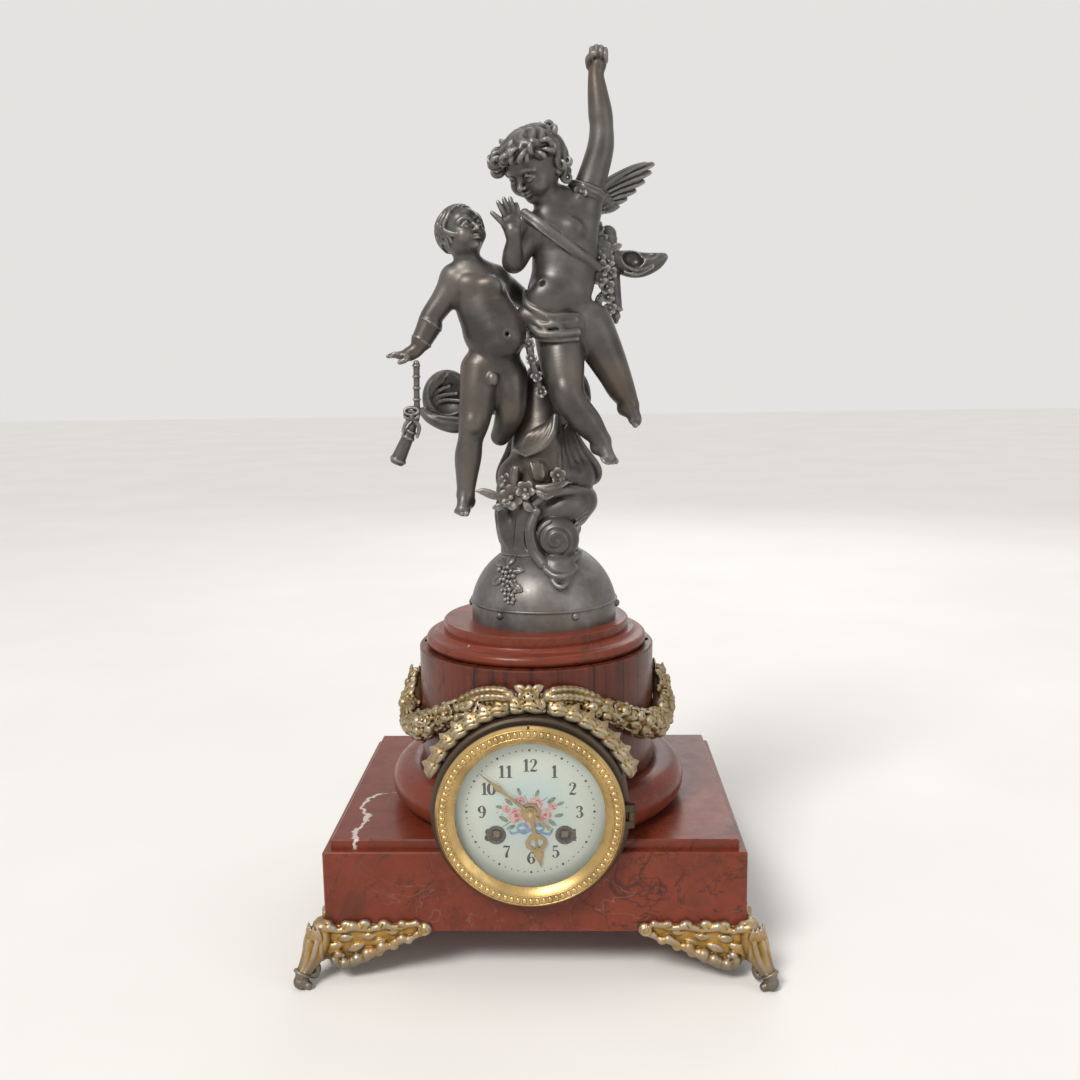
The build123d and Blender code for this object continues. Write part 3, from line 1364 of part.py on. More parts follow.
with BuildPart() as pendulum:
    rod((0, pendulum_z), pendulum_eye_r, pendulum_y - 2.0, pendulum_y + 2.0)
    post(clock_x, pendulum_y, pendulum_rod_r, clock_z + bob_z - bob_r - rating_nut_h,
         clock_z + pendulum_z - pendulum_eye_r + 1.0)
    rod((0, pendulum_z), pendulum_pin_r + run_clear, pendulum_y - 4.0, pendulum_y + 4.0, Mode.SUBTRACT)
    bob_axis = Axis((clock_x, pendulum_y, clock_z + bob_z), (0, 1, 0))
    bob_plane = Plane(origin=(clock_x, pendulum_y, clock_z + bob_z), x_dir=(1, 0, 0), z_dir=(0, 0, 1))
    with BuildSketch(bob_plane):
        with BuildLine():
            ThreePointArc((0, -bob_t / 2), (bob_r * bob_bulge[0], -bob_t * bob_bulge[1]), (bob_r, 0))
            ThreePointArc((bob_r, 0), (bob_r * bob_bulge[0], bob_t * bob_bulge[1]), (0, bob_t / 2))
            Line((0, bob_t / 2), (0, -bob_t / 2))
        make_face()
    revolve(axis=bob_axis)
    post(clock_x, pendulum_y, rating_nut_r, clock_z + bob_z - bob_r - rating_nut_h, clock_z + bob_z - bob_r)
save(pendulum, "pendulum")

# Gilt flower garlands on the drum, with leaves along the bezel frame
band_r = frame_r + seat_gap
leaf_t = 10.5
leaf_proud = 10.3
leaf_sunk = 1.7
leaf_front = drum_front - leaf_proud
leaf_back = drum_front + leaf_sunk


def leaf_band(first, last, thick):
    """A leafy band round the bezel frame between two angles."""
    with BuildSketch(clock_plane(leaf_back)) as band:
        with BuildLine():
            mid = (first + last) / 2
            start_in = polar(band_r, first)
            start_out = polar(band_r + thick, first)
            end_in = polar(band_r, last)
            end_out = polar(band_r + thick, last)
            ThreePointArc(start_in, polar(band_r, mid), end_in)
            Line(end_in, end_out)
            ThreePointArc(end_out, polar(band_r + thick, mid), start_out)
            Line(start_out, start_in)
        make_face()
    extrude(band.sketch, amount=leaf_back - leaf_front)


def stone_clear():
    """Cut a mount back to the surfaces of the drum, the torus and the bezel frame that it lies on."""
    post(drum_x, drum_y, drum_r + seat_gap, 0, far, Mode.SUBTRACT)
    torus_form(seat_gap, Mode.SUBTRACT)
    rod((0, 0), band_r, -far, drum_y, Mode.SUBTRACT)


# Balls of a garland: turn from the front, stand off the drum, height and radius
garland_balls = [(24.0, 5.5, 190.0, 9.0), (36.0, 5.0, 182.5, 10.0), (48.0, 5.5, 173.0, 11.0),
                 (60.0, 6.5, 164.0, 11.5), (72.0, 7.0, 162.0, 11.5), (83.0, 6.5, 168.0, 11.0),
                 (91.0, 5.5, 178.0, 9.0), (96.0, 5.0, 187.0, 7.0)]
right_lift = 2.0
left_leaf = (100.0, 158.0)
right_leaf = (80.0, 22.0)


def garland_part(side):
    """A garland of flowers on one side of the drum, from the bezel frame round to the flank."""
    with BuildPart() as garland:
        balls = []
        last = len(garland_balls) - 1
        for k, (turn, out, z, r) in enumerate(garland_balls):
            lift = right_lift * k / last if side > 0 else 0.0
            x, y = polar(drum_r + out, -90.0 + side * turn, (drum_x, drum_y))
            balls.append(((x, y, z + lift), r))
        swell(balls)
        ends = left_leaf if side < 0 else right_leaf
        leaf_band(*ends, leaf_t)
        stone_clear()
    keep_largest(garland)
    return garland


save(garland_part(-1), "garland_left")
save(garland_part(1), "garland_right")

# Crest of flowers over the middle of the bezel frame
crest_half = 9.5
crest_leaf = (80.6, 99.4)
crest_x = 9.0
crest_flowers = [(-crest_x, 1.3, 194.0, 7.5), (0.0, 3.3, 197.0, 8.5), (crest_x, 1.3, 194.0, 7.5)]
with BuildPart() as garland_crest:
    leaf_band(*crest_leaf, leaf_t)
    swell([((clock_x + x, drum_front - out, z), r) for x, out, z, r in crest_flowers])
    stone_clear()
    for side in (-1, 1):
        edge = polar(far, 90.0 + side * crest_half)
        corner = polar(far, 90.0 + side * 90.0)
        outline([(0, 0), edge, corner], -far, far, Mode.SUBTRACT)
keep_largest(garland_crest)
save(garland_crest, "garland_crest")
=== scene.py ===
import json
import math
import random

import bpy
import numpy as np
from mathutils import Matrix, Vector


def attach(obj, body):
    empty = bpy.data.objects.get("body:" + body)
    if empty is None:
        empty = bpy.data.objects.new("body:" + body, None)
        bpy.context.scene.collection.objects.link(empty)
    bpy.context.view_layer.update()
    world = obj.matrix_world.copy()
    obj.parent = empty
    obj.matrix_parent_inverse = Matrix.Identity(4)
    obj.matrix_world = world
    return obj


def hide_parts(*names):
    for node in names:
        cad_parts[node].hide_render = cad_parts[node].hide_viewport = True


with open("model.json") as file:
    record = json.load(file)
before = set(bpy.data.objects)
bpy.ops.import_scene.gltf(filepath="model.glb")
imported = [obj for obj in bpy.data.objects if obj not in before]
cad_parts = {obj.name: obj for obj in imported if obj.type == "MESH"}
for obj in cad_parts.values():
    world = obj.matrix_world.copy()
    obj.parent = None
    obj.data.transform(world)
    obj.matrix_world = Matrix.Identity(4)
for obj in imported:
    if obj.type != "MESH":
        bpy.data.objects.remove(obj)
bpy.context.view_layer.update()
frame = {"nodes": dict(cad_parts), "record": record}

# A figural mantel clock. Shapes are worked out in millimetres in the CAD frame and turned to metres
# when a mesh is made. Figures, garlands and feet are modelled in clay: signed distances on a grid.
MM = 0.001
FINE = 1.0
CLAY_EDGE = 9.0
scene = bpy.context.scene
nodes = frame["nodes"]

# Places shared with the CAD, in millimetres
CLOCK_X, CLOCK_Z = -1.6, 121.9
DRUM_X, DRUM_Y, DRUM_R = 0.5, -13.8, 86.9
FRAME_R = 67.15
GROUP_X = 6.6
DOME_FLAT, DOME_R, DOME_Z, DOME_TOP = 2.44, 52.10, 238.38, 283.6
BLOCK_X, BLOCK_Y = 145.0, 111.5
BEAD_R, BEAD_Y = 58.4, -125.85
DIAL_R, DIAL_Y, DIAL_RISE = 54.0, -113.7, 1.2


def unit(v):
    """The direction of a vector."""
    v = np.array(v, float)
    return v / np.linalg.norm(v)


def axes_from(ahead, up):
    """Side, ahead and up directions, square to each other, from a direction and a rough up."""
    ahead = unit(ahead)
    side = unit(np.cross(ahead, up))
    return side, ahead, np.cross(side, ahead)


def reach_along(place, way):
    """How far spread coordinates reach along a direction."""
    return sum(axis * np.float32(share) for axis, share in zip(place, way))


def flow(path, steps):
    """A smooth run through points (x, y, z, radius) or (point, radius); no steps leave it straight."""
    path = [(step[:3], step[3]) if len(step) == 4 else step for step in path]
    if not steps:
        return path
    rows = np.array([[*p, r] for p, r in path], float)
    last = len(rows) - 1
    smooth = []
    for i in range(last):
        a, b, c, d = rows[max(i - 1, 0)], rows[i], rows[i + 1], rows[min(i + 2, last)]
        for s in range(steps):
            t = s / steps
            smooth.append(0.5 * (2 * b + (c - a) * t + (2 * a - 5 * b + 4 * c - d) * t ** 2
                + (3 * b - a - 3 * c + d) * t ** 3))
    smooth.append(rows[-1])
    return [(row[:3], max(row[3], 0.3)) for row in smooth]


class Clay:
    """A lump of clay: signed distances in millimetres on a grid, added to, cut and turned into a mesh."""

    corners = [(i, j, k) for i in (0, 1) for j in (0, 1) for k in (0, 1)]

    def __init__(self, low, high, cell):
        self.cell = cell * FINE
        self.low = np.array(low, float)
        self.count = [int(math.ceil((b - a) / self.cell)) + 1 for a, b in zip(low, high)]
        self.axes = [(np.arange(n) * self.cell + a).astype(np.float32) for n, a in zip(self.count, low)]
        self.field = np.full(self.count, CLAY_EDGE, np.float32)

    def window(self, low, high):
        """The part of the grid that holds a box."""
        spans = []
        for i in range(3):
            first = min(max(0, int((low[i] - self.low[i]) / self.cell)), self.count[i] - 1)
            last = min(self.count[i], int((high[i] - self.low[i]) / self.cell) + 2)
            spans.append(slice(first, max(last, first + 1)))
        return tuple(spans)

    def points(self, spans=(slice(None),) * 3, origin=(0, 0, 0)):
        """Coordinates of a window, or of the whole grid, from an origin, ready to be spread over it."""
        x, y, z = (self.axes[i][spans[i]] - np.float32(origin[i]) for i in range(3))
        return x[:, None, None], y[None, :, None], z[None, None, :]

    def chain(self, path, grow, squeeze=None):
        """Distances to a chain of round limbs; squeeze is (direction, factor) for a flattened one."""
        low = np.min([np.array(p) - r for p, r in path], 0) - grow
        high = np.max([np.array(p) + r for p, r in path], 0) + grow
        spans = self.window(low, high)
        d = np.full([s.stop - s.start for s in spans], CLAY_EDGE, np.float32)
        for (a, ra), (b, rb) in zip(path, path[1:]):
            a, b = np.array(a, float), np.array(b, float)
            near = self.window(np.minimum(a - ra, b - rb) - grow, np.maximum(a + ra, b + rb) + grow)
            near = tuple(slice(max(n.start, s.start), max(min(n.stop, s.stop), max(n.start, s.start) + 1))
                for n, s in zip(near, spans))
            x, y, z = self.points(near, a)
            ab = b - a
            t = np.clip((x * ab[0] + y * ab[1] + z * ab[2]) / max(ab @ ab, 1e-6), 0, 1).astype(np.float32)
            x, y, z = (axis - t * np.float32(step) for axis, step in zip((x, y, z), ab))
            far = x * x + y * y + z * z
            if squeeze:
                across = reach_along((x, y, z), unit(squeeze[0]))
                far = far + (squeeze[1] ** 2 - 1) * across * across
            dist = (np.sqrt(far) - (ra + t * (rb - ra))).astype(np.float32)
            part = tuple(slice(n.start - s.start, n.stop - s.start) for n, s in zip(near, spans))
            d[part] = np.minimum(d[part], dist)
        return spans, d

    def ball(self, centre, radii, grow, turn):
        """Distances to an egg of one or three radii; turn gives its three axes as rows."""
        rx, ry, rz = (radii,) * 3 if isinstance(radii, (int, float)) else radii
        reach = max(rx, ry, rz) + grow
        centre = np.array(centre, float)
        spans = self.window(centre - reach, centre + reach)
        place = self.points(spans, centre)
        x, y, z = place if turn is None else (reach_along(place, row) for row in turn)
        inner = np.sqrt((x / rx) ** 2 + (y / ry) ** 2 + (z / rz) ** 2)
        slope = np.sqrt((x / rx ** 2) ** 2 + (y / ry ** 2) ** 2 + (z / rz ** 2) ** 2) + 1e-5
        return spans, (inner * (inner - 1) / slope).astype(np.float32)

    def join(self, spans, d, soft):
        """Blend a form into the clay."""
        here = self.field[spans]
        h = np.clip(0.5 + 0.5 * (here - d) / soft, 0, 1)
        self.field[spans] = here + (d - here) * h - soft * h * (1 - h)

    def pare(self, spans, d, soft):
        """Take a form out of the clay."""
        here = self.field[spans]
        h = np.clip(0.5 - 0.5 * (here + d) / soft, 0, 1)
        self.field[spans] = here * (1 - h) - d * h + soft * h * (1 - h)

    def trim(self, d):
        """Cut the clay back sharply where a distance is above 0."""
        self.field = np.maximum(self.field, d.astype(np.float32))

    def limb(self, path, soft, steps=10, squeeze=None):
        self.join(*self.chain(flow(path, steps), soft + 1, squeeze), soft)

    def groove(self, path, soft, steps=4):
        self.pare(*self.chain(flow(path, steps), soft + 1), soft)

    def egg(self, centre, radii, soft, turn=None):
        self.join(*self.ball(centre, radii, soft + 1, turn), soft)

    def dent(self, centre, radii, soft, turn=None):
        self.pare(*self.ball(centre, radii, soft + 1, turn), soft)

    def slab(self, low, high, soft, cut=False):
        """Add or cut a box."""
        spans = self.window(np.array(low) - soft - 1, np.array(high) + soft + 1)
        parts = [np.maximum(low[i] - axis, axis - high[i]) for i, axis in enumerate(self.points(spans))]
        outside = np.sqrt(sum(np.maximum(p, 0) ** 2 for p in parts))
        inside = np.minimum(np.maximum(np.maximum(parts[0], parts[1]), parts[2]), 0)
        (self.pare if cut else self.join)(spans, (outside + inside).astype(np.float32), soft)

    def surface(self, smooth):
        """The clay's skin as points and four-sided faces."""
        f = self.field
        inside = f < 0
        nx, ny, nz = f.shape
        total = np.zeros((nx - 1, ny - 1, nz - 1), np.int8)
        for i, j, k in self.corners:
            total += inside[i:nx - 1 + i, j:ny - 1 + j, k:nz - 1 + k]
        active = (total > 0) & (total < 8)
        cells = np.argwhere(active)
        values = np.stack([f[tuple((cells + corner).T)] for corner in self.corners], 1)
        place = np.zeros((len(cells), 3))
        hits = np.zeros(len(cells))
        for a in range(8):
            for b in range(a + 1, 8):
                ca, cb = np.array(self.corners[a]), np.array(self.corners[b])
                if abs(cb - ca).sum() != 1:
                    continue
                va, vb = values[:, a], values[:, b]
                cross = (va < 0) != (vb < 0)
                t = np.where(cross, va / np.where(cross, va - vb, 1), 0)
                place += cross[:, None] * (ca + t[:, None] * (cb - ca))
                hits += cross
        points = (cells + place / hits[:, None]) * self.cell + self.low
        number = np.full(active.shape, -1, np.int64)
        number[active] = np.arange(len(cells))
        quads = []
        for axis in range(3):
            one, two = (axis + 1) % 3, (axis + 2) % 3
            first, second = [slice(1, -1)] * 3, [slice(1, -1)] * 3
            first[axis], second[axis] = slice(0, -1), slice(1, None)
            near, far = inside[tuple(first)], inside[tuple(second)]
            cross = near != far
            base = np.argwhere(cross)
            base[:, one] += 1
            base[:, two] += 1
            ring = []
            for back_one, back_two in ((0, 0), (1, 0), (1, 1), (0, 1)):
                at = base.copy()
                at[:, one] -= back_one
                at[:, two] -= back_two
                ring.append(number[tuple(at.T)])
            quad = np.stack(ring, 1)
            turned = ~near[cross]
            quad[turned] = quad[turned][:, ::-1]
            quads.append(quad)
        quads = np.concatenate(quads)
        quads = quads[(quads >= 0).all(1)]
        ends = np.concatenate([quads, np.roll(quads, -1, 1)], 0).reshape(2, -1)
        share = np.bincount(ends[0], minlength=len(points)) + 0.0
        for _ in range(smooth):
            moved = np.stack([np.bincount(ends[0], points[ends[1], i], len(points)) for i in range(3)], 1)
            points = 0.5 * points + 0.5 * moved / np.maximum(share, 1)[:, None]
        return points, quads


def link(mesh, name, material):
    """An object of a mesh, with a material, in the scene."""
    piece = bpy.data.objects.new(name, mesh)
    scene.collection.objects.link(piece)
    mesh.materials.append(material)
    return piece


def stand_out(points, quads, evened=5):
    """How sharply the skin bends outwards (above 0) or inwards (below 0) at each point, per millimetre."""
    count = len(points)
    here = np.concatenate([quads.ravel(), np.roll(quads, -1, 1).ravel()])
    there = np.concatenate([np.roll(quads, -1, 1).ravel(), quads.ravel()])
    share = np.maximum(np.bincount(here, minlength=count), 1)
    faced = np.cross(points[quads[:, 2]] - points[quads[:, 0]], points[quads[:, 3]] - points[quads[:, 1]])
    normal = np.stack([np.bincount(quads.ravel(), np.repeat(faced[:, i], 4), count) for i in range(3)], 1)
    normal /= np.linalg.norm(normal, axis=1)[:, None] + 1e-9
    apart = points[here] - points[there]
    rise = np.bincount(here, (apart * normal[here]).sum(1), count)
    bend = 2 * rise / (np.bincount(here, (apart ** 2).sum(1), count) + 1e-9)
    for _ in range(evened):
        bend = np.bincount(here, bend[there], count) / share
    return bend


def mesh_from(name, points, faces, material, smooth=True):
    """A mesh piece from points in millimetres and four-sided faces."""
    points, faces = np.asarray(points, float), np.asarray(faces, np.int32)
    mesh = bpy.data.meshes.new(name)
    mesh.vertices.add(len(points))
    mesh.vertices.foreach_set("co", (points * MM).astype(np.float32).ravel())
    mesh.loops.add(faces.size)
    mesh.loops.foreach_set("vertex_index", faces.ravel())
    mesh.polygons.add(len(faces))
    mesh.polygons.foreach_set("loop_start", np.arange(0, faces.size, 4, dtype=np.int32))
    mesh.polygons.foreach_set("use_smooth", np.full(len(faces), smooth, bool))
    mesh.update(calc_edges=True)
    mesh.validate()
    if len(mesh.vertices) == len(points):
        bend = mesh.attributes.new("stand_out", "FLOAT", "POINT")
        bend.data.foreach_set("value", stand_out(points, faces).astype(np.float32))
    return link(mesh, name, material)


def dress(piece, body, slot, *stands_for):
    """Say which body a piece rides on and the nodes it stands for; the material slot is not used."""
    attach(piece, body)
    if stands_for:
        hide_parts(*stands_for)


def cast(clay, name, material, slot, *stands_for, smooth=1):
    """Turn clay into a piece of the case."""
    dress(mesh_from(name, *clay.surface(smooth), material), "case", slot, *stands_for)


def add_camera(place, pitch, yaw, roll, lens):
    """A camera at a place in millimetres, turned by angles in radians."""
    ahead = Vector((math.sin(yaw) * math.cos(pitch), math.cos(yaw) * math.cos(pitch), -math.sin(pitch)))
    right = Vector((math.cos(yaw), -math.sin(yaw), 0))
    up = right.cross(ahead)
    across = math.cos(roll) * right + math.sin(roll) * up
    above = -math.sin(roll) * right + math.cos(roll) * up
    data = bpy.data.cameras.new("camera")
    data.sensor_width = 36.0
    data.lens = lens
    data.clip_start, data.clip_end = 0.02, 50.0
    camera = bpy.data.objects.new("camera", data)
    turn = Matrix((across, above, -ahead)).transposed().to_quaternion()
    camera.matrix_world = Matrix.LocRotScale(Vector(place) * MM, turn, None)
    scene.collection.objects.link(camera)
    scene.camera = camera


def add_light(name, kind, place, aim, energy, tint=(1, 1, 1), **spread):
    """A square lamp or a broad, even sun at a place, in metres, turned towards a point."""
    data = bpy.data.lights.new(name, kind)
    data.energy, data.color = energy, tint
    for key, value in spread.items():
        setattr(data, key, value)
    lamp = bpy.data.objects.new(name, data)
    lamp.location = place
    lamp.rotation_euler = (Vector(aim) - Vector(place)).to_track_quat("-Z", "Y").to_euler()
    scene.collection.objects.link(lamp)


class Shader:
    """A short way to write a material's nodes."""

    def __init__(self, name):
        self.material = bpy.data.materials.new(name)
        self.material.use_nodes = True
        self.tree = self.material.node_tree
        self.surface = self.tree.nodes["Principled BSDF"]
        self.place = self.node("ShaderNodeTexCoord").outputs["Object"]

    def node(self, kind, **values):
        made = self.tree.nodes.new(kind)
        for key, value in values.items():
            setattr(made, key, value)
        return made

    def feed(self, socket, value):
        if isinstance(value, bpy.types.NodeSocket):
            self.tree.links.new(value, socket)
        else:
            socket.default_value = value

    def put(self, **values):
        """Set or link inputs of the surface, with _ for a space in the name."""
        for key, value in values.items():
            self.feed(self.surface.inputs[key.replace("_", " ")], value)

    def noise(self, scale, detail=3.0, rough=0.55, warp=0.0, squash=None):
        made = self.node("ShaderNodeTexNoise")
        for key, value in (("Scale", scale), ("Detail", detail), ("Roughness", rough), ("Distortion", warp)):
            made.inputs[key].default_value = value
        source = self.place
        if squash:
            scaled = self.node("ShaderNodeVectorMath", operation="MULTIPLY")
            self.feed(scaled.inputs[0], source)
            scaled.inputs[1].default_value = squash
            source = scaled.outputs[0]
        self.feed(made.inputs["Vector"], source)
        return made.outputs["Fac"]

    def math(self, kind, a, b=0.0):
        made = self.node("ShaderNodeMath", operation=kind)
        self.feed(made.inputs[0], a)
        self.feed(made.inputs[1], b)
        return made.outputs[0]

    def weigh(self, a, by_a, b, by_b):
        """The sum of two products."""
        return self.math("ADD", self.math("MULTIPLY", a, by_a), self.math("MULTIPLY", b, by_b))

    def span(self, value, low, high, to_low=0.0, to_high=1.0):
        made = self.node("ShaderNodeMapRange")
        inputs = (("Value", value), ("From Min", low), ("From Max", high), ("To Min", to_low),
            ("To Max", to_high))
        for key, given in inputs:
            self.feed(made.inputs[key], given)
        return made.outputs[0]

    def mix(self, share, a, b):
        made = self.node("ShaderNodeMix", data_type="RGBA")
        self.feed(made.inputs["Factor"], share)
        for key, value in (("A", a), ("B", b)):
            socket = next(s for s in made.inputs if s.name == key and s.type == "RGBA")
            self.feed(socket, value if isinstance(value, bpy.types.NodeSocket) else (*value, 1.0))
        return next(s for s in made.outputs if s.type == "RGBA")

    def edges(self, low=-0.4, high=0.6):
        """How far a place stands out (1) or lies in a hollow (0)."""
        bend = self.node("ShaderNodeAttribute", attribute_name="stand_out")
        return self.span(bend.outputs["Fac"], low, high)

    def split(self):
        made = self.node("ShaderNodeSeparateXYZ")
        self.feed(made.inputs[0], self.place)
        return made.outputs

    def from_axis(self):
        """How far a place is from the clock's axis, in metres."""
        x, _, z = self.split()
        across, above = self.math("SUBTRACT", x, CLOCK_X * MM), self.math("SUBTRACT", z, CLOCK_Z * MM)
        return self.math("SQRT", self.weigh(across, across, above, above))

    def dull(self, broad, low, high, fine, less, more):
        """Roughness between two values by a broad noise, shifted a little by a fine one."""
        shift = self.span(fine, 0.3, 0.7, less, more)
        self.put(Roughness=self.math("ADD", self.span(broad, 0.3, 0.7, low, high), shift))

    def bump(self, height, strength, distance):
        made = self.node("ShaderNodeBump")
        made.inputs["Strength"].default_value = strength
        made.inputs["Distance"].default_value = distance
        self.feed(made.inputs["Height"], height)
        self.put(Normal=made.outputs["Normal"])


def patina(name, dark, mid, rubbed, rough=0.30, carved=True):
    """Patinated cast metal: dark in the hollows, rubbed pale where it stands out, or in patches if plain."""
    s = Shader(name)
    cloud = s.noise(28.0, 4.0, 0.6)
    grain = s.noise(420.0, 3.0, 0.6)
    edge = s.edges(-0.40, 0.55) if carved else s.span(s.noise(45.0, 5.0, 0.65), 0.3, 0.7, 0.30, 0.78)
    tone = s.mix(s.span(cloud, 0.35, 0.68), dark, mid)
    warm = s.mix(s.span(s.noise(14.0, 2.0), 0.52, 0.74, 0.0, 0.55), tone, (0.112, 0.068, 0.040))
    bright = s.math("MULTIPLY", s.span(edge, 0.50, 1.0), s.span(grain, 0.2, 0.7, 0.45, 1.0))
    tone = s.mix(bright, warm, rubbed)
    tone = s.mix(s.span(edge, 0.36, 0.05, 0.0, 0.85), tone, (0.007, 0.005, 0.004))
    s.put(Base_Color=tone, Metallic=0.5)
    s.dull(cloud, rough - 0.06, rough + 0.09, grain, -0.03, 0.05)
    s.bump(grain, 0.08, 0.0004)
    return s.material


def gilding(name, gold, worn, hollow, wear, rough, rim=None, toes=False):
    """Worn gilding: ochre gold, grey where rubbed, brown in the hollows, bare at the rim, and greyer and
    darker towards the bottom at the toes.
    """
    s = Shader(name)
    cloud = s.noise(60.0, 4.0, 0.62)
    grain = s.noise(700.0, 2.0, 0.6)
    edge = s.edges(-0.55, 0.60)
    patches = s.span(cloud, 0.38, 0.66)
    tone = s.mix(patches, gold, tuple(0.62 * c for c in gold))
    rubbed = s.math("MULTIPLY", s.span(edge, 0.38, 0.72), s.span(cloud, 0.70, 0.36, 0.25, wear))
    tone = s.mix(rubbed, tone, worn)
    tone = s.mix(s.span(edge, 0.40, 0.10, 0.0, 0.9), tone, hollow)
    if rim:
        tone = s.mix(s.span(s.from_axis(), rim, rim + 0.0006), tone, (0.075, 0.055, 0.038))
    # with toes, the gilding turns greyer and darker towards the bottom, from 24 mm down to 9 mm above the
    # floor
    if toes:
        grey_low_tone = s.mix(patches, (0.10, 0.092, 0.080), (0.20, 0.188, 0.165))
        tone = s.mix(s.span(s.split()[2], 0.024, 0.009, 0.0, 0.85), tone, grey_low_tone)
    s.put(Base_Color=tone, Metallic=0.85)
    s.dull(cloud, rough - 0.05, rough + 0.10, grain, -0.02, 0.04)
    s.bump(grain, 0.12, 0.0003)
    return s.material


def metal(name, tone, rough, metallic=0.95, streak=(1, 1, 1)):
    """Plain worked metal with fine streaks and a little staining."""
    s = Shader(name)
    lines = s.noise(900.0, 2.0, 0.6, squash=streak)
    cloud = s.noise(38.0, 4.0, 0.6)
    colour = s.mix(s.span(cloud, 0.42, 0.72, 0.0, 0.35), tone, tuple(0.45 * c for c in tone))
    colour = s.mix(s.span(s.edges(), 0.4, 0.1, 0.0, 0.6), colour, tuple(0.25 * c for c in tone))
    s.put(Base_Color=colour, Metallic=metallic)
    s.dull(lines, rough - 0.06, rough + 0.06, cloud, -0.03, 0.06)
    s.bump(lines, 0.08, 0.0002)
    return s.material


def marble(name, seams=(), chips=True, white_vein=False, streaks=False):
    """Polished brown-red marble: clouds, charcoal veins and threads, pale flecks and a few white veins."""
    s = Shader(name)
    broad = s.noise(9.0, 5.0, 0.6, 0.6)
    fine = s.noise(75.0, 6.0, 0.68, 0.4)
    tone = s.mix(s.span(broad, 0.36, 0.64), (0.148, 0.027, 0.012), (0.188, 0.036, 0.017))
    tone = s.mix(s.span(fine, 0.46, 0.70, 0.0, 0.45), tone, (0.085, 0.020, 0.012))
    tone = s.mix(s.span(s.noise(26.0, 5.0, 0.65, 1.4), 0.60, 0.76, 0.0, 0.45), tone, (0.225, 0.066, 0.040))
    tone = s.mix(s.span(s.noise(13.0, 6.0, 0.66, 1.1), 0.58, 0.72, 0.0, 0.70), tone, (0.046, 0.020, 0.015))
    veins = ((10.0, 0.010, 0.70, (0.034, 0.013, 0.010)), (17.0, 0.013, 0.75, (0.036, 0.014, 0.011)),
        (38.0, 0.022, 0.60, (0.040, 0.016, 0.012)), (8.0, 0.003, 0.35, (0.34, 0.20, 0.17)))
    for scale, width, share, colour in veins:
        thread = s.math("ABSOLUTE", s.math("SUBTRACT", s.noise(scale, 5.0, 0.62, 0.9), 0.5))
        gate = s.span(s.noise(scale * 0.55, 2.0), 0.46, 0.60)
        tone = s.mix(s.math("MULTIPLY", s.span(thread, 0.0, width, share, 0.0), gate), tone, colour)
    x, y, z = s.split()
    if streaks:
        grain = s.noise(150.0, 3.0, 0.6, 0.2, squash=(1, 1, 0.05))
        tone = s.mix(0.42, tone, (0.030, 0.011, 0.008))
        tone = s.mix(s.span(grain, 0.50, 0.66, 0.0, 0.75), tone, (0.020, 0.010, 0.008))
        tone = s.mix(s.span(grain, 0.44, 0.34, 0.0, 0.35), tone, (0.150, 0.044, 0.028))
    if chips:
        fleck = s.node("ShaderNodeTexVoronoi")
        fleck.inputs["Scale"].default_value = 70.0
        s.feed(fleck.inputs["Vector"], s.place)
        rare = s.span(s.noise(31.0, 1.0), 0.60, 0.66)
        spot = s.math("MULTIPLY", s.span(fleck.outputs["Distance"], 0.04, 0.09, 0.8, 0.0), rare)
        tone = s.mix(spot, tone, (0.46, 0.36, 0.31))
    right, back = s.math("SUBTRACT", x, DRUM_X * MM), s.math("SUBTRACT", y, DRUM_Y * MM)
    for turn, width, strength in seams:
        aim = math.radians(turn)
        side = s.weigh(right, math.sin(aim), back, -math.cos(aim))
        side = s.math("ADD", side, s.span(s.noise(40.0, 3.0), 0.0, 1.0, -0.0012, 0.0012))
        ahead = s.span(s.weigh(right, math.cos(aim), back, math.sin(aim)), 0.0, 0.01)
        line = s.span(s.math("ABSOLUTE", side), width * 0.5, width, strength, 0.0)
        tone = s.mix(s.math("MULTIPLY", line, ahead), tone, (0.015, 0.008, 0.007))
    if white_vein:
        path = s.node("ShaderNodeFloatCurve")
        bends = path.mapping.curves[0].points
        bends[0].location, bends[1].location = (0.0, 0.60), (1.0, 0.85)
        for bend in ((0.23, 0.21), (0.47, 0.33), (0.76, 0.05), (0.93, 0.25)):
            bends.new(*bend)
        path.mapping.update()
        s.feed(path.inputs["Value"], s.span(y, -0.115, -0.024))
        wander = s.span(s.noise(150.0, 3.0, 0.6), 0.0, 1.0, -0.005, 0.005)
        middle = s.span(path.outputs["Value"], 0.0, 1.0, -0.130, -0.105)
        line = s.math("ABSOLUTE", s.math("SUBTRACT", s.math("ADD", x, wander), middle))
        wide = s.span(s.noise(45.0, 2.0), 0.3, 0.7, 0.0008, 0.0034)
        on_top = s.math("MULTIPLY", s.span(y, -0.022, -0.026), s.span(z, 0.0900, 0.0925))
        share = s.math("MULTIPLY", s.span(s.math("DIVIDE", line, wide), 0.6, 1.0, 0.92, 0.0), on_top)
        tone = s.mix(share, tone, (0.58, 0.52, 0.48))
    s.put(Base_Color=tone, Coat_Weight=0.06, Coat_Roughness=0.10, Specular_IOR_Level=0.26)
    s.put(Roughness=s.span(fine, 0.3, 0.7, 0.24, 0.38))
    s.bump(fine, 0.06, 0.0003)
    return s.material


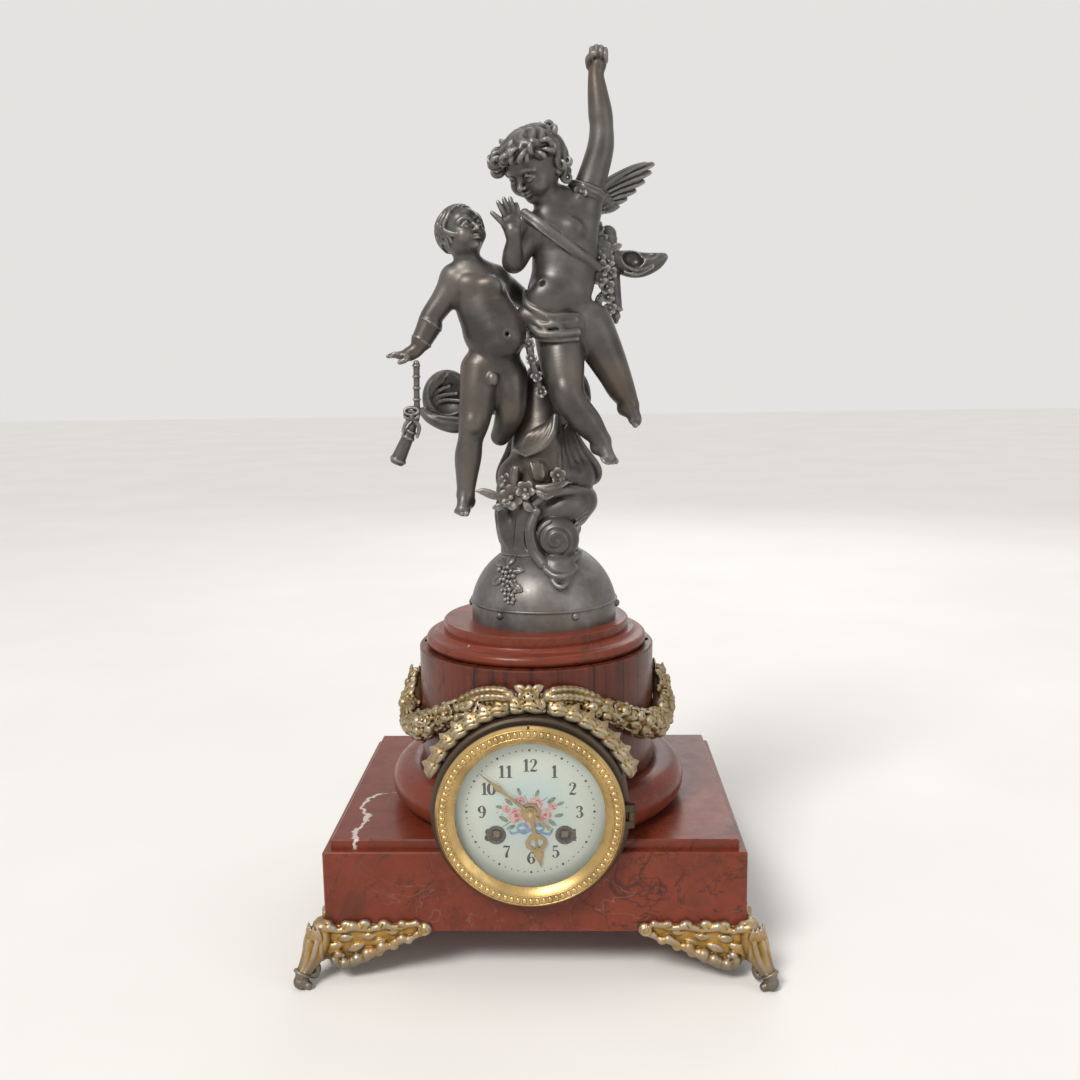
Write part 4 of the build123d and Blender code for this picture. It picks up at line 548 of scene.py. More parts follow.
def enamel():
    """A pale green-white enamel dial, a little greyer at the rim, with a faint speckle."""
    s = Shader("dial_enamel")
    far = s.from_axis()
    tone = s.mix(s.span(far, 0.012, 0.034), (0.46, 0.60, 0.60), (0.60, 0.645, 0.555))
    tone = s.mix(s.span(far, 0.036, 0.052, 0.0, 0.7), tone, (0.52, 0.575, 0.48))
    tone = s.mix(s.span(s.noise(90.0, 4.0), 0.45, 0.75, 0.0, 0.35), tone, (0.55, 0.58, 0.52))
    tone = s.mix(s.span(s.noise(900.0, 1.0), 0.74, 0.80, 0.0, 0.5), tone, (0.25, 0.23, 0.18))
    s.put(Base_Color=tone, Coat_Weight=0.5, Coat_Roughness=0.06)
    s.put(Roughness=s.span(s.noise(200.0), 0.3, 0.7, 0.16, 0.26))
    return s.material


def paint(name, tone, other):
    """Painted enamel that shifts between two tones."""
    s = Shader(name)
    s.put(Base_Color=s.mix(s.span(s.noise(260.0, 3.0), 0.38, 0.62), tone, other))
    s.put(Roughness=s.span(s.noise(500.0), 0.3, 0.7, 0.30, 0.43))
    return s.material


def glazing():
    """Clear glass that shows most at a glancing angle."""
    s = Shader("clear_glass")
    rim = s.node("ShaderNodeLayerWeight")
    rim.inputs["Blend"].default_value = 0.25
    s.put(Base_Color=(0.92, 0.95, 0.94, 1.0), Roughness=0.04, Specular_IOR_Level=0.5)
    dust = s.span(s.noise(120.0, 3.0), 0.45, 0.75, 0.0, 0.02)
    s.put(Alpha=s.math("ADD", s.span(rim.outputs["Fresnel"], 0.0, 1.0, 0.03, 0.55), dust))
    return s.material


def floor_material():
    """A plain pale floor with a very faint mottle."""
    s = Shader("pale_floor")
    s.put(Base_Color=s.mix(s.span(s.noise(3.0, 3.0), 0.3, 0.7), (0.80, 0.79, 0.77), (0.84, 0.83, 0.81)))
    s.put(Roughness=0.75)
    return s.material


def add_world(light, seen_level, tint):
    """An even surround: one level as light, another where it is seen or mirrored."""
    world = bpy.data.worlds.new("studio")
    scene.world = world
    world.use_nodes = True
    tree = world.node_tree
    back = tree.nodes["Background"]
    rays = tree.nodes.new("ShaderNodeLightPath")
    seen = rays.outputs["Is Camera Ray"]
    for kind in ("Is Glossy Ray", "Is Transmission Ray"):
        either = tree.nodes.new("ShaderNodeMath")
        either.operation = "MAXIMUM"
        tree.links.new(seen, either.inputs[0])
        tree.links.new(rays.outputs[kind], either.inputs[1])
        seen = either.outputs[0]
    level = tree.nodes.new("ShaderNodeMapRange")
    level.inputs["To Min"].default_value = light
    level.inputs["To Max"].default_value = seen_level
    tree.links.new(seen, level.inputs["Value"])
    tree.links.new(level.outputs[0], back.inputs["Strength"])
    back.inputs["Color"].default_value = (*tint, 1.0)


def add_stage():
    """Floor, surround and soft studio light."""
    far = 9000
    corners = [(-far, -far, 0), (far, -far, 0), (far, far, 0), (-far, far, 0)]
    floor = mesh_from("floor", corners, [(0, 1, 2, 3)], floor_material(), False)
    add_world(0.40, 0.78, (1.0, 0.985, 0.965))
    warm, cool, middle = (1.0, 0.97, 0.93), (0.96, 0.98, 1.0), (0.0, 0.0, 0.3)
    add_light("sun", "SUN", (-0.55, -0.85, 1.05), (0, 0, 0), 2.1, warm, angle=0.35)
    add_light("key", "AREA", (-0.9, -1.5, 1.7), middle, 9.0, warm, size=0.8)
    add_light("fill", "AREA", (1.7, -1.3, 0.9), middle, 6.0, cool, size=1.3)
    add_light("top", "AREA", (0.15, 0.1, 2.2), middle, 4.0, size=0.9)
    add_light("back", "AREA", (0.4, 1.8, 1.3), middle, 7.0, size=1.3)
    scene.view_settings.view_transform = "Standard"


# Stage and materials, with the camera at the photograph's viewpoint
add_camera(place=(28.87, -798.60, 416.30), pitch=0.1583, yaw=-0.0312, roll=-0.0142, lens=35.81)
add_stage()
spelter = patina("patinated_spelter", (0.050, 0.046, 0.042), (0.120, 0.114, 0.107), (0.33, 0.32, 0.305), 0.35)
dome_metal = patina("dome_spelter", (0.060, 0.057, 0.054), (0.150, 0.143, 0.136), (0.27, 0.26, 0.25),
    0.34, False)
vine_metal = patina("vine_spelter", (0.050, 0.046, 0.043), (0.120, 0.113, 0.106), (0.28, 0.27, 0.25))
gilt = gilding("worn_gilt", (0.30, 0.185, 0.052), (0.40, 0.370, 0.300), (0.022, 0.014, 0.008), 0.95, 0.40)
foot_gilt = gilding("foot_gilt", (0.46, 0.255, 0.048), (0.36, 0.345, 0.310), (0.150, 0.078, 0.016), 1.0,
    0.40, toes=True)
bezel_gold = gilding("bezel_gold", (0.53, 0.350, 0.125), (0.66, 0.52, 0.30), (0.11, 0.055, 0.014), 0.5,
    0.27, rim=0.0630)
hand_gold = gilding("hand_gold", (0.42, 0.275, 0.090), (0.50, 0.37, 0.17), (0.12, 0.065, 0.018), 0.5, 0.30)
bronze = metal("dark_bronze", (0.085, 0.062, 0.043), 0.38, 0.75)
brass = metal("movement_brass", (0.62, 0.45, 0.18), 0.28, streak=(1, 8, 1))
steel = metal("blued_steel", (0.30, 0.30, 0.32), 0.26)
tin = metal("tinned_sheet", (0.36, 0.35, 0.33), 0.42, streak=(1, 0.05, 1))
bell_metal = metal("bell_metal", (0.56, 0.45, 0.24), 0.20)
arbor_brass = metal("arbor_brass", (0.20, 0.125, 0.045), 0.40)
stone = marble("red_marble")
slab_stone = marble("red_marble_slab", white_vein=True)
drum_seams = ((-117.5, 0.0011, 0.9), (-90.5, 0.0022, 0.55), (-61.0, 0.0010, 0.9), (-44.0, 0.0009, 0.8),
    (-150.0, 0.0010, 0.7), (-20.0, 0.0009, 0.7), (35.0, 0.0010, 0.8), (100.0, 0.0012, 0.8))
drum_stone = marble("red_marble_drum", drum_seams, chips=False, streaks=True)
ink = paint("black_numerals", (0.010, 0.010, 0.011), (0.020, 0.019, 0.018))


# The figure group
def rosette(clay, centre, out, size, petals, turn, soft=0.5):
    """A small open flower that faces outwards."""
    out = unit(out)
    side, _, up = axes_from(out, (0.1, 0.2, 1.0) if abs(out[2]) < 0.9 else (1.0, 0.0, 0.1))
    centre = np.array(centre, float)
    for k in range(petals):
        a = turn + 2 * math.pi * k / petals
        ray = math.cos(a) * side + math.sin(a) * up
        across = np.cross(out, ray)
        tilt = unit(out - 0.45 * ray)
        clay.egg(centre + 0.62 * size * ray, (0.58 * size, 0.50 * size, 0.20 * size), soft,
            (unit(ray + 0.4 * out), across, tilt))
        clay.groove([(centre + 0.25 * size * ray + 0.24 * size * out, 0.10 * size),
            (centre + 1.05 * size * ray + 0.46 * size * out, 0.07 * size)], 0.3, 0)
    clay.egg(centre + 0.18 * size * out, 0.25 * size, 0.3)


def leaf(clay, path, out, width, thin=2.6, soft=0.5):
    """A pointed leaf along a path of points, flattened towards its outward side, with a sunk midrib."""
    count = len(path) - 1
    swell = [max(0.16, math.sin(math.pi * (0.16 + 0.80 * k / count))) for k in range(count + 1)]
    clay.limb([(p, width * w) for p, w in zip(path, swell)], soft, 4, (out, thin))
    lift = unit(out) * width / thin
    clay.groove([(np.array(p) + lift, max(0.30, 0.11 * width)) for p in path], 0.3, 3)


def toes(clay, ball, ahead, up, size, mirror):
    """Five toes in front of the ball of a foot."""
    side, ahead, up = axes_from(ahead, up)
    toe_rows = ((-0.62, 0.62, 0.36), (-0.14, 0.70, 0.26), (0.22, 0.62, 0.24), (0.54, 0.48, 0.22),
        (0.82, 0.28, 0.21))
    for across, reach, r in toe_rows:
        base = ball + size * (mirror * across * side + (reach - 0.55) * ahead)
        tip = ball + size * (mirror * across * side + reach * ahead - 0.10 * up)
        clay.limb([(base, 0.9 * r * size), (tip, r * size)], 0.35, 0)


def foot(clay, ankle, heel, ball, up, size, mirror=1):
    """A bare foot: heel, arch, ball and toes."""
    ankle, heel, ball = (np.array(p, float) for p in (ankle, heel, ball))
    side, ahead, up = axes_from(ball - heel, up)
    clay.limb([(ankle, 1.05 * size), (heel + 0.35 * size * up, 0.95 * size)], 2.0, 0)
    clay.limb([(heel, 0.85 * size), (0.5 * (heel + ball) + 0.25 * size * up, 0.78 * size),
        (ball, 0.72 * size)], 2.0, 3)
    clay.limb([(ankle + 0.3 * size * ahead, 0.85 * size), (ball + 0.1 * size * up, 0.66 * size)], 2.0, 0)
    clay.limb([(ball - 0.45 * size * mirror * side, 0.50 * size),
        (ball + 0.5 * size * mirror * side, 0.40 * size)], 1.2, 0)
    toes(clay, ball, ahead, up, size, mirror)


def child_head(clay, centre, look, up, size):
    """A child's head with a calm, round face; returns a way to place points on it."""
    side, ahead, up = axes_from(look, up)
    rows = (side, ahead, up)
    centre = np.array(centre, float)

    def at(a, b, c):
        return centre + size * (a * side + b * ahead + c * up)

    def egg(place, radii, soft):
        clay.egg(at(*place), tuple(size * r for r in radii), soft * size, rows)

    def dent(place, radii, soft):
        clay.dent(at(*place), tuple(size * r for r in radii), soft * size, rows)

    def line(places, radii, soft, cut=False):
        path = [(at(*p), size * r) for p, r in zip(places, radii)]
        (clay.groove if cut else clay.limb)(path, soft * size, 3)

    # skull, jaw, forehead, cheeks, eye sockets, chin and nose
    egg((0, -0.06, 0.10), (0.86, 0.98, 0.94), 0.10)
    egg((0, 0.20, -0.42), (0.66, 0.62, 0.58), 0.25)
    egg((0, 0.52, 0.30), (0.56, 0.42, 0.42), 0.20)
    for k in (-1, 1):
        egg((0.36 * k, 0.58, -0.38), (0.30, 0.28, 0.28), 0.18)
        dent((0.33 * k, 0.99, -0.03), (0.21, 0.17, 0.13), 0.10)
    egg((0, 0.62, -0.80), (0.20, 0.18, 0.16), 0.15)
    line([(0, 0.90, 0.06), (0, 0.98, -0.14), (0, 1.07, -0.29)], (0.065, 0.075, 0.095), 0.10)
    # nostril, eyeball, two lids, brow and ear on each side
    for k in (-1, 1):
        egg((0.095 * k, 0.98, -0.32), (0.07, 0.08, 0.06), 0.04)
        egg((0.32 * k, 0.79, -0.05), (0.15, 0.13, 0.125), 0.02)
        line([(0.15 * k, 0.87, -0.06), (0.31 * k, 0.935, 0.045), (0.50 * k, 0.79, -0.05)],
            (0.028, 0.038, 0.028), 0.05)
        line([(0.17 * k, 0.87, -0.09), (0.32 * k, 0.905, -0.15), (0.48 * k, 0.80, -0.08)],
            (0.022, 0.028, 0.022), 0.06)
        line([(0.14 * k, 0.93, 0.17), (0.33 * k, 0.92, 0.22), (0.54 * k, 0.76, 0.15)], (0.03, 0.04, 0.03),
            0.16)
        egg((0.84 * k, -0.06, -0.16), (0.10, 0.19, 0.26), 0.05)
        dent((0.95 * k, -0.02, -0.14), (0.06, 0.10, 0.15), 0.04)
    # lips, the line between them and the dip below
    line([(-0.20, 0.82, -0.545), (-0.08, 0.91, -0.505), (0, 0.925, -0.52), (0.08, 0.91, -0.505),
        (0.20, 0.82, -0.545)], (0.026, 0.044, 0.042, 0.044, 0.026), 0.08)
    line([(-0.14, 0.83, -0.60), (0, 0.895, -0.625), (0.14, 0.83, -0.60)], (0.045, 0.072, 0.045), 0.05)
    line([(-0.22, 0.85, -0.555), (0, 0.985, -0.562), (0.22, 0.85, -0.555)], (0.024, 0.026, 0.024), 0.02, True)
    line([(-0.08, 0.89, -0.735), (0.08, 0.89, -0.735)], (0.05, 0.05), 0.08, True)
    return at


def lock(clay, at, size, way, start, end, out, thick, curl, wave):
    """One wavy lock of hair down a head, from a height in degrees to another; its end may curl."""
    path = []
    for k in range(9):
        t = k / 8
        rise = math.radians(start + (end - start) * t)
        turn = way + wave * math.sin(2.2 * math.pi * t + way * 3) * (0.3 + t)
        far = 0.99 + (out - 0.99) * t
        flat = math.cos(rise) * far
        place = at(0.90 * flat * math.sin(turn), flat * math.cos(turn) - 0.06,
            0.10 + 0.97 * math.sin(rise) * far)
        path.append((place, size * thick * (0.75 + 0.25 * math.sin(math.pi * t))))
    if curl:
        last = path[-1][0]
        down = unit(last - path[-2][0])
        away = last - at(0, -0.06, 0.10)
        away = unit(away - (away @ down) * down)
        for k in range(1, 6):
            a = 0.85 * k
            path.append((last + curl * size * ((1 - math.cos(a)) * away + math.sin(a) * down),
                size * thick * (0.75 - 0.07 * k)))
    clay.limb(path, 0.30, 3)


def figure_right():
    """The upper figure: raised arm, open hand, strap, flowers, cloth and quiver."""
    clay = Clay((-28, -58, 338), (102, 28, 640), 0.50)
    # trunk of the body
    clay.egg((31, -15, 446), (20, 16.5, 16.5), 6)
    clay.egg((40, -7, 441), 13.5, 5)
    clay.egg((27, -6, 439), 13.0, 5)
    clay.egg((20.8, -19.0, 470), (22.8, 17.5, 19), 7)
    clay.egg((22.5, -17, 486), (20, 15, 16), 8)
    clay.egg((22.5, -16, 501), (20.5, 14.6, 20), 8)
    clay.limb([(36, -10, 527, 12.5), (20, -16, 522, 10), (5, -21, 514, 10.5)], 8)
    clay.limb([(40, -10, 520, 9), (37, -12, 500, 11), (35, -13, 478, 10)], 8)
    clay.egg((13, -27.5, 509), (9.5, 5, 7), 6, axes_from((-0.5, -0.8, 0), (0, 0, 1)))
    clay.egg((28, -25, 512), (9.5, 5, 7), 6, axes_from((-0.3, -0.9, 0), (0, 0, 1)))
    clay.limb([(17, -16, 520, 11), (12, -18, 534, 9.5), (7, -20, 545, 10)], 5)
    clay.limb([(12, -15, 538, 8), (27, -11.5, 534, 9), (40, -9, 531, 10)], 6)
    clay.egg((11.5, -31.5, 463), (13.5, 8, 13), 7)
    # raised arm
    clay.limb([(37, -9, 527, 12.5), (44.5, -9, 548, 10.6), (50.5, -10, 568, 9.5), (51.4, -10, 582, 8.4),
        (50.6, -10, 592, 8.5), (48.8, -10, 606, 7.0), (47.8, -10, 617, 5.6), (49, -9.5, 624, 6.2)], 4)
    for x, top in ((44.9, 633.4), (48.0, 634.6), (51.2, 634.2), (54.2, 632.6)):
        clay.limb([(x, -6.5, 627, 2.3), (x, -8.5, top - 2.2, 2.2), (x, -13, top, 2.0),
            (x, -15.8, top - 4, 2.0), (x, -13.6, top - 7, 1.9)], 0.45, 4)
    clay.limb([(43.5, -9, 623, 2.8), (42.6, -13.5, 627, 2.4), (46.5, -16.6, 629.4, 2.1)], 0.8, 4)
    # arm band with two rims and a knot
    side, _, up = axes_from((0.36, 0.0, 0.93), (0, -1, 0))
    for rise, far, thick in ((-2.8, 12.5, 1.5), (0.0, 11.6, 2.6), (2.8, 11.7, 1.5)):
        middle = np.array((40.6 + 0.36 * rise, -9, 539.0 + 0.93 * rise))
        clay.limb([(middle + far * (math.cos(a) * side + math.sin(a) * up), thick)
            for a in np.linspace(0, 2 * math.pi, 41)], 0.7, 0)
    rosette(clay, (36.5, -21.5, 537.5), (-0.3, -1, 0), 4.8, 4, 0.4)
    # arm held forward with an open hand
    clay.limb([(3, -21, 513, 10.5), (-5, -25, 500, 9), (-10.5, -30.5, 490, 8.2), (-11, -36, 495, 6.8),
        (-9.8, -39.5, 503, 5.4), (-10.6, -41.5, 509, 5.8)], 3)
    clay.egg((-11.5, -42, 515.0), (7.2, 3.7, 7.6), 1.5)
    fingers = (((-16.2, -43, 514), (-24.2, -44, 521.3)), ((-15.4, -43.2, 520), (-19.9, -44.4, 528.0)),
        ((-12.6, -43.2, 521.5), (-16.0, -44, 530.2)), ((-9.4, -42.8, 521.5), (-11.6, -43.6, 530.4)),
        ((-6.6, -42.0, 520), (-7.6, -42.4, 526.8)))
    for base, tip in fingers:
        middle = 0.5 * (np.array(base) + np.array(tip)) + np.array((0, -0.7, 0))
        clay.limb([(base, 2.3), (middle, 2.05), (tip, 1.55)], 0.4, 4)
    # front leg and back leg
    clay.limb([(21, -20, 437, 18), (22.5, -30, 418, 15.5), (25.5, -37.5, 399, 12.5),
        (31.5, -39.5, 389, 10.8), (39, -40, 379, 10.4), (45, -40, 371.5, 8.2), (49, -40, 366, 6.8)], 5)
    clay.egg((25.5, -45.0, 399), (7.5, 5, 7.5), 5)
    foot(clay, (49.5, -40, 365), (47.0, -37.5, 360.5), (54.2, -45.0, 353.5), (0.55, -0.75, 0.35), 6.3)
    clay.limb([(42, -14, 446, 17), (51, -15.5, 429, 14.5), (59, -16, 413, 11.8), (64, -14, 402, 10.2),
        (68, -12, 395, 8.2), (70.5, -12, 390, 6.8)], 5)
    foot(clay, (70.6, -12, 389), (67.0, -10.5, 386.5), (74.6, -13.6, 379.2), (0.60, -0.65, 0.30), 6.2, -1)
    clay.dent((9.0, -36.0, 475), (0.9, 2.0, 1.1), 2.6)
    # head with thick waves of hair
    size = 21.5
    look = (-0.50, -0.70, -0.51)
    at = child_head(clay, (4.5, -22, 555), look, (0, 0, 1), size)
    dice = random.Random(11)
    clay.egg(at(0, -0.20, 0.24), (0.98 * size, 0.98 * size, 0.92 * size), 1.0, axes_from(look, (0, 0, 1)))
    for k in range(22):
        way = -math.pi + 2 * math.pi * (k + 0.5) / 22
        front = math.cos(way)
        low = 16 + 10 * max(0.0, front) if front > 0.25 else (-14 if front > -0.3 else -36)
        lock(clay, at, size, way + dice.uniform(-0.08, 0.08), 78, low + dice.uniform(-6, 6),
            1.10 + dice.uniform(-0.03, 0.04), 0.155, 0.12, 0.16)
    for k in range(13):
        way = -math.pi + 2 * math.pi * (k + 0.3) / 13
        lock(clay, at, size, way + dice.uniform(-0.15, 0.15), 86, 36 + dice.uniform(-8, 8),
            1.15 + dice.uniform(-0.03, 0.04), 0.17, 0.13, 0.24)
    fringe = ((0.62, 22, 1.26), (0.30, 25, 1.22), (0.92, 16, 1.20), (0.0, 30, 1.15), (-0.34, 26, 1.14),
        (1.25, 4, 1.16))
    for way, end, out in fringe:
        lock(clay, at, size, way, 60, end, out, 0.17, 0.16, 0.18)
    # flat strap over the chest with a raised edge on each side
    strap = [(-3, -27.5, 523), (7, -33.2, 515), (19, -34.4, 506), (31, -31.0, 497.5), (41, -24, 490.5),
        (48, -14, 486)]
    clay.limb([(p, 3.4) for p in strap], 0.8, 24, ((-0.30, -0.92, 0.25), 2.2))
    clay.limb([(x - 1.5, y - 0.6, z - 2.3, 1.1) for x, y, z in strap], 0.6, 16)
    clay.limb([(x + 1.5, y + 0.1, z + 2.3, 0.8) for x, y, z in strap], 0.6, 16)
    # flowers along the flank
    flowers = ((45, -5, 522), (48.5, -3.5, 515), (51, -4, 507.5), (53, -5, 499.5), (49, -11, 493.5),
        (56, -6, 491.5), (51, -12, 486), (57.5, -6, 483.5), (50, -13, 478), (54.5, -9, 473.5),
        (55.5, -8, 466), (57, -7, 458.5))
    for k, (x, y, z) in enumerate(flowers):
        rosette(clay, (x, y, z), (0.2, -0.95, 0.15), 4.6 if k % 3 else 5.6, 5, 0.7 * k)
    leaf(clay, [(43, -10, 499), (40, -17, 494), (38.5, -21, 487)], (0.1, -1, 0.2), 3.6)
    leaf(clay, [(57, -4, 499), (62, -3, 502), (66, -2, 503)], (0.1, -1, 0.2), 3.0)
    leaf(clay, [(52, -8, 470), (49, -13, 464), (48, -16, 457)], (0.0, -1, 0.2), 3.2)
    # flying end of the sash
    clay.limb([(44, -2, 500, 10), (55, 3, 498, 7.5), (63, 6, 493, 6)], 3)
    clay.limb([(62, 6, 493, 6.5), (71, 8, 491, 9.5), (80, 9, 490, 9), (90, 9, 492, 6.5),
        (96.5, 8.5, 495, 3.4)], 2.0, 8, ((0, 1, 0), 1.25))
    clay.dent((74.5, 0.5, 494.5), (8.2, 8.5, 7.0), 0.8, axes_from((0.25, -0.95, 0.1), (0.35, 0, 1)))
    clay.dent((85.5, 1.5, 498.5), (8.0, 7.5, 4.8), 0.8)
    for lift in (-1.5, 2.5):
        clay.limb([(68, 2.2, 486 + lift, 0.9), (77, 1.2, 483.5 + 0.6 * lift, 1.2),
            (89, 3.0, 488 + 0.4 * lift, 0.8)], 1.0)
    # quiver
    clay.limb([(56, 10, 512, 6.6), (58.5, 7, 485, 6.2), (61, 5, 460, 5.2)], 1.0)
    for (x, y, z), r in (((61.1, 5, 459), 6.0), ((60.4, 5.6, 465), 5.8), ((56.2, 9.8, 510), 7.0)):
        clay.limb([(x - 0.1, y, z + 0.8, r), (x + 0.1, y, z - 0.8, r)], 0.3, 0, ((0.05, 0, 1), 3.2))
    clay.egg((61.6, 5, 453.4), 3.6, 0.5)
    clay.egg((61.8, 5, 449.4), 1.9, 0.4)
    # cloth at the hips: loose folds that cross each other
    clay.limb([(-1, -28, 452, 9.5), (10, -30.5, 449, 10.5), (22, -31, 446, 10.5), (32, -27, 445, 9.0)],
        1.5, 8)
    folds = (
        ([(-3, -26, 469), (-1, -34, 460), (9, -38.5, 454), (21, -37.0, 449), (33, -31, 444)], 2.6),
        ([(-2, -30, 461), (5, -37.5, 454), (15, -39.5, 452), (25, -36.5, 452), (33, -31, 452)], 2.3),
        ([(-2, -33, 453), (8, -39.5, 446), (19, -40.5, 446.5), (32, -34.5, 449)], 2.6),
        ([(0, -34, 447), (8, -40.5, 440), (20, -42, 439.5), (33, -36.5, 441)], 3.0),
        ([(2, -35, 452), (9, -41, 444), (14, -42.5, 439), (18, -42, 436)], 1.7),
        ([(12, -40.5, 451), (20, -41.5, 445), (27, -40, 439.5)], 1.5),
        ([(0, -31, 441), (8, -39, 436.5), (20, -42, 435.5), (33, -36.5, 436.5)], 1.7))
    for path, r in folds:
        clay.limb([(p, r) for p in path], 1.0, 8)
    drop = [(-3, -34, 442), (-0.5, -38, 433), (1, -39.5, 423), (4.5, -40, 411), (7.5, -39, 400)]
    clay.limb([(p, r) for p, r in zip(drop, (3.2, 3.0, 2.6, 2.6, 2.0))], 0.6)
    for k, p in enumerate(drop):
        rosette(clay, np.array(p) + (0, -1.5, 0), (0, -1, 0.1), 4.0, 5, 0.8 * k, 0.4)
    cast(clay, "figure_right_cast", spelter, "spelter", "figure_right", smooth=4)


def figure_left():
    """The lower figure: standing leg, bent leg, cuffed arm and flat hand."""
    clay = Clay((-103, -58, 310), (6, 8, 532), 0.48)
    # trunk of the body
    clay.egg((-25, -30, 420), (18, 16.5, 15.5), 5)
    clay.egg((-36, -19, 417), 12, 5)
    clay.egg((-21, -15, 417), 12, 5)
    clay.egg((-24.0, -33.5, 440), (22.5, 18.0, 17.5), 6)
    clay.egg((-28.5, -32.5, 453), (20.0, 16.5, 16), 8)
    clay.egg((-34.5, -32, 467), (18.5, 14.8, 20), 8)
    clay.limb([(-51, -32, 479, 10.5), (-39, -31, 484, 9.5), (-25, -22, 479, 10)], 6)
    clay.egg((-41.5, -42.5, 474), (7.5, 4.5, 6), 5)
    clay.egg((-26.0, -43.0, 473), (7.5, 4.5, 6), 5)
    clay.egg((-19, -44.5, 436), (13, 7.0, 11.5), 6)
    clay.limb([(-40, -31, 483, 10), (-43, -32, 493, 9), (-45, -33, 500, 9.5)], 4)
    # arm with cuff and flat hand
    clay.limb([(-51.5, -32, 478, 10.5), (-60, -34, 464.5, 8.8), (-69, -36, 452, 7.8),
        (-74, -38, 440, 6.8), (-79, -40, 431, 5.4), (-84, -41.5, 427.5, 5.0)], 4)
    clay.limb([(-69.5, -36.4, 447.5, 8.6), (-75.6, -38.6, 436.5, 7.3)], 0.5, 0)
    for x, y, z, r in ((-69.4, -36.3, 447.8, 8.9), (-75.7, -38.7, 436.2, 7.6)):
        clay.limb([(x - 0.2, y, z + 0.4, r), (x + 0.2, y, z - 0.4, r)], 0.3, 0, ((-0.48, -0.17, -0.86), 4.5))
    clay.egg((-87.5, -42, 426.6), (7.5, 5.6, 3.4), 1.4)
    for y, tip in ((-46.0, -96.0), (-43.6, -98.8), (-41.2, -98.4), (-39.0, -95.4)):
        clay.limb([(-90, y + 0.6, 427.0, 1.9), (-93.5, y, 427.6, 1.8), (tip, y - 0.2, 426.0, 1.45)], 0.35, 3)
    clay.limb([(-84.5, -46, 425.5, 2.4), (-86.5, -48.4, 423.2, 2.1), (-90, -48.6, 421.8, 1.7)], 0.6, 3)
    clay.limb([(-24, -21, 478, 10), (-14.5, -10, 472, 8.5), (-6.5, -1, 466.5, 7.2)], 4)
    # standing leg and bent leg
    clay.limb([(-34.8, -33, 416, 14.8), (-36.8, -37, 400, 13.2), (-40, -38.5, 381, 11.2),
        (-43.0, -36.5, 368, 9.0), (-45.4, -34, 355, 9.6), (-46.8, -33, 341, 7.8), (-47.8, -33, 329, 6.2)],
        3.5)
    clay.egg((-40.5, -46.0, 379.5), (6.6, 5.6, 7.0), 3)
    foot(clay, (-48, -33, 327), (-47.0, -30.5, 321.5), (-49.6, -40.8, 317.4), (-0.1, -0.45, 0.9), 6.2)
    clay.limb([(-17, -26, 412, 14.5), (-15.5, -29, 398, 12.8), (-15.2, -29, 387, 10.8),
        (-19, -22, 376, 8.8), (-23.5, -15, 368, 7)], 4)
    clay.egg((-26, -46, 409.5), (4.2, 4.0, 5.0), 2.5)
    clay.dent((-15.0, -50.4, 440), (0.9, 2.0, 1.1), 2.6)
    # head
    size = 17.3
    look, hint = (0.58, -0.74, 0.34), (-0.35, 0.2, 0.9)
    at = child_head(clay, (-46.6, -34, 509.6), look, hint, size)
    dice = random.Random(5)
    for k in range(30):
        way = math.pi * (0.32 + 1.36 * k / 29)
        lock(clay, at, size, way + dice.uniform(-0.05, 0.05), 70, -26 + dice.uniform(-10, 8),
            1.005 + dice.uniform(0, 0.02), 0.085, 0.0, 0.30)
    for k in range(13):
        way = -1.0 + 2.0 * k / 12
        lock(clay, at, size, way, 80, 46 + dice.uniform(-5, 6), 1.01, 0.085, 0.0, 0.30)
    for k in range(16):
        a = 0.6 * k
        r = 0.19 * (1 - k / 17)
        here = at(-0.05 + r * math.cos(a), 0.70 - 0.004 * k, 0.66 + 0.8 * r * math.sin(a))
        there = at(-0.05 + r * math.cos(a + 0.6), 0.70, 0.66 + 0.8 * r * math.sin(a + 0.6))
        clay.limb([(here, 0.052 * size), (there, 0.05 * size)], 0.2, 0)
    cast(clay, "figure_left_cast", spelter, "spelter", "figure_left", smooth=4)


def on_dome(x, z, lift=0.0):
    """A point on the front of the dome, or lifted off it."""
    r = DOME_FLAT + math.sqrt(DOME_R ** 2 - (z - DOME_Z) ** 2)
    deep = math.sqrt(max(r * r - (x - GROUP_X) ** 2, 1.0))
    out = unit((x - GROUP_X, -deep, 0.8 * (z - DOME_Z)))
    return np.array((x, DRUM_Y - deep, z)) + lift * out


def seat_on_dome(clay):
    """Cut clay back to just off the dome and the flat top that it stands on."""
    x, y, z = clay.points(origin=(GROUP_X, DRUM_Y, 0))
    away = np.sqrt(x ** 2 + y ** 2)
    ball = DOME_R + 0.1 - np.sqrt((away - DOME_FLAT) ** 2 + (z - np.float32(DOME_Z)) ** 2)
    clay.trim(np.minimum(ball, np.float32(DOME_TOP) - z))


def volute(clay, centre, out, wide, deep):
    """A flattened ball with a spiral line cut into its outward side."""
    axes = axes_from(out, (0, 0, 1))
    clay.egg(centre, (wide, deep, wide), 1.5, axes)
    line = []
    for k in range(46):
        a = 1.9 + 0.29 * k
        r = 0.82 * wide * (1 - k / 47) ** 0.9 + 0.4
        place = np.array(centre) + r * math.cos(a) * axes[0] + r * math.sin(a) * axes[2]
        line.append((place + (deep * math.sqrt(1 - (r / wide) ** 2) + 0.3) * axes[1],
            (0.080 - 0.0008 * k) * wide))
    clay.groove(line, 0.9, 3)


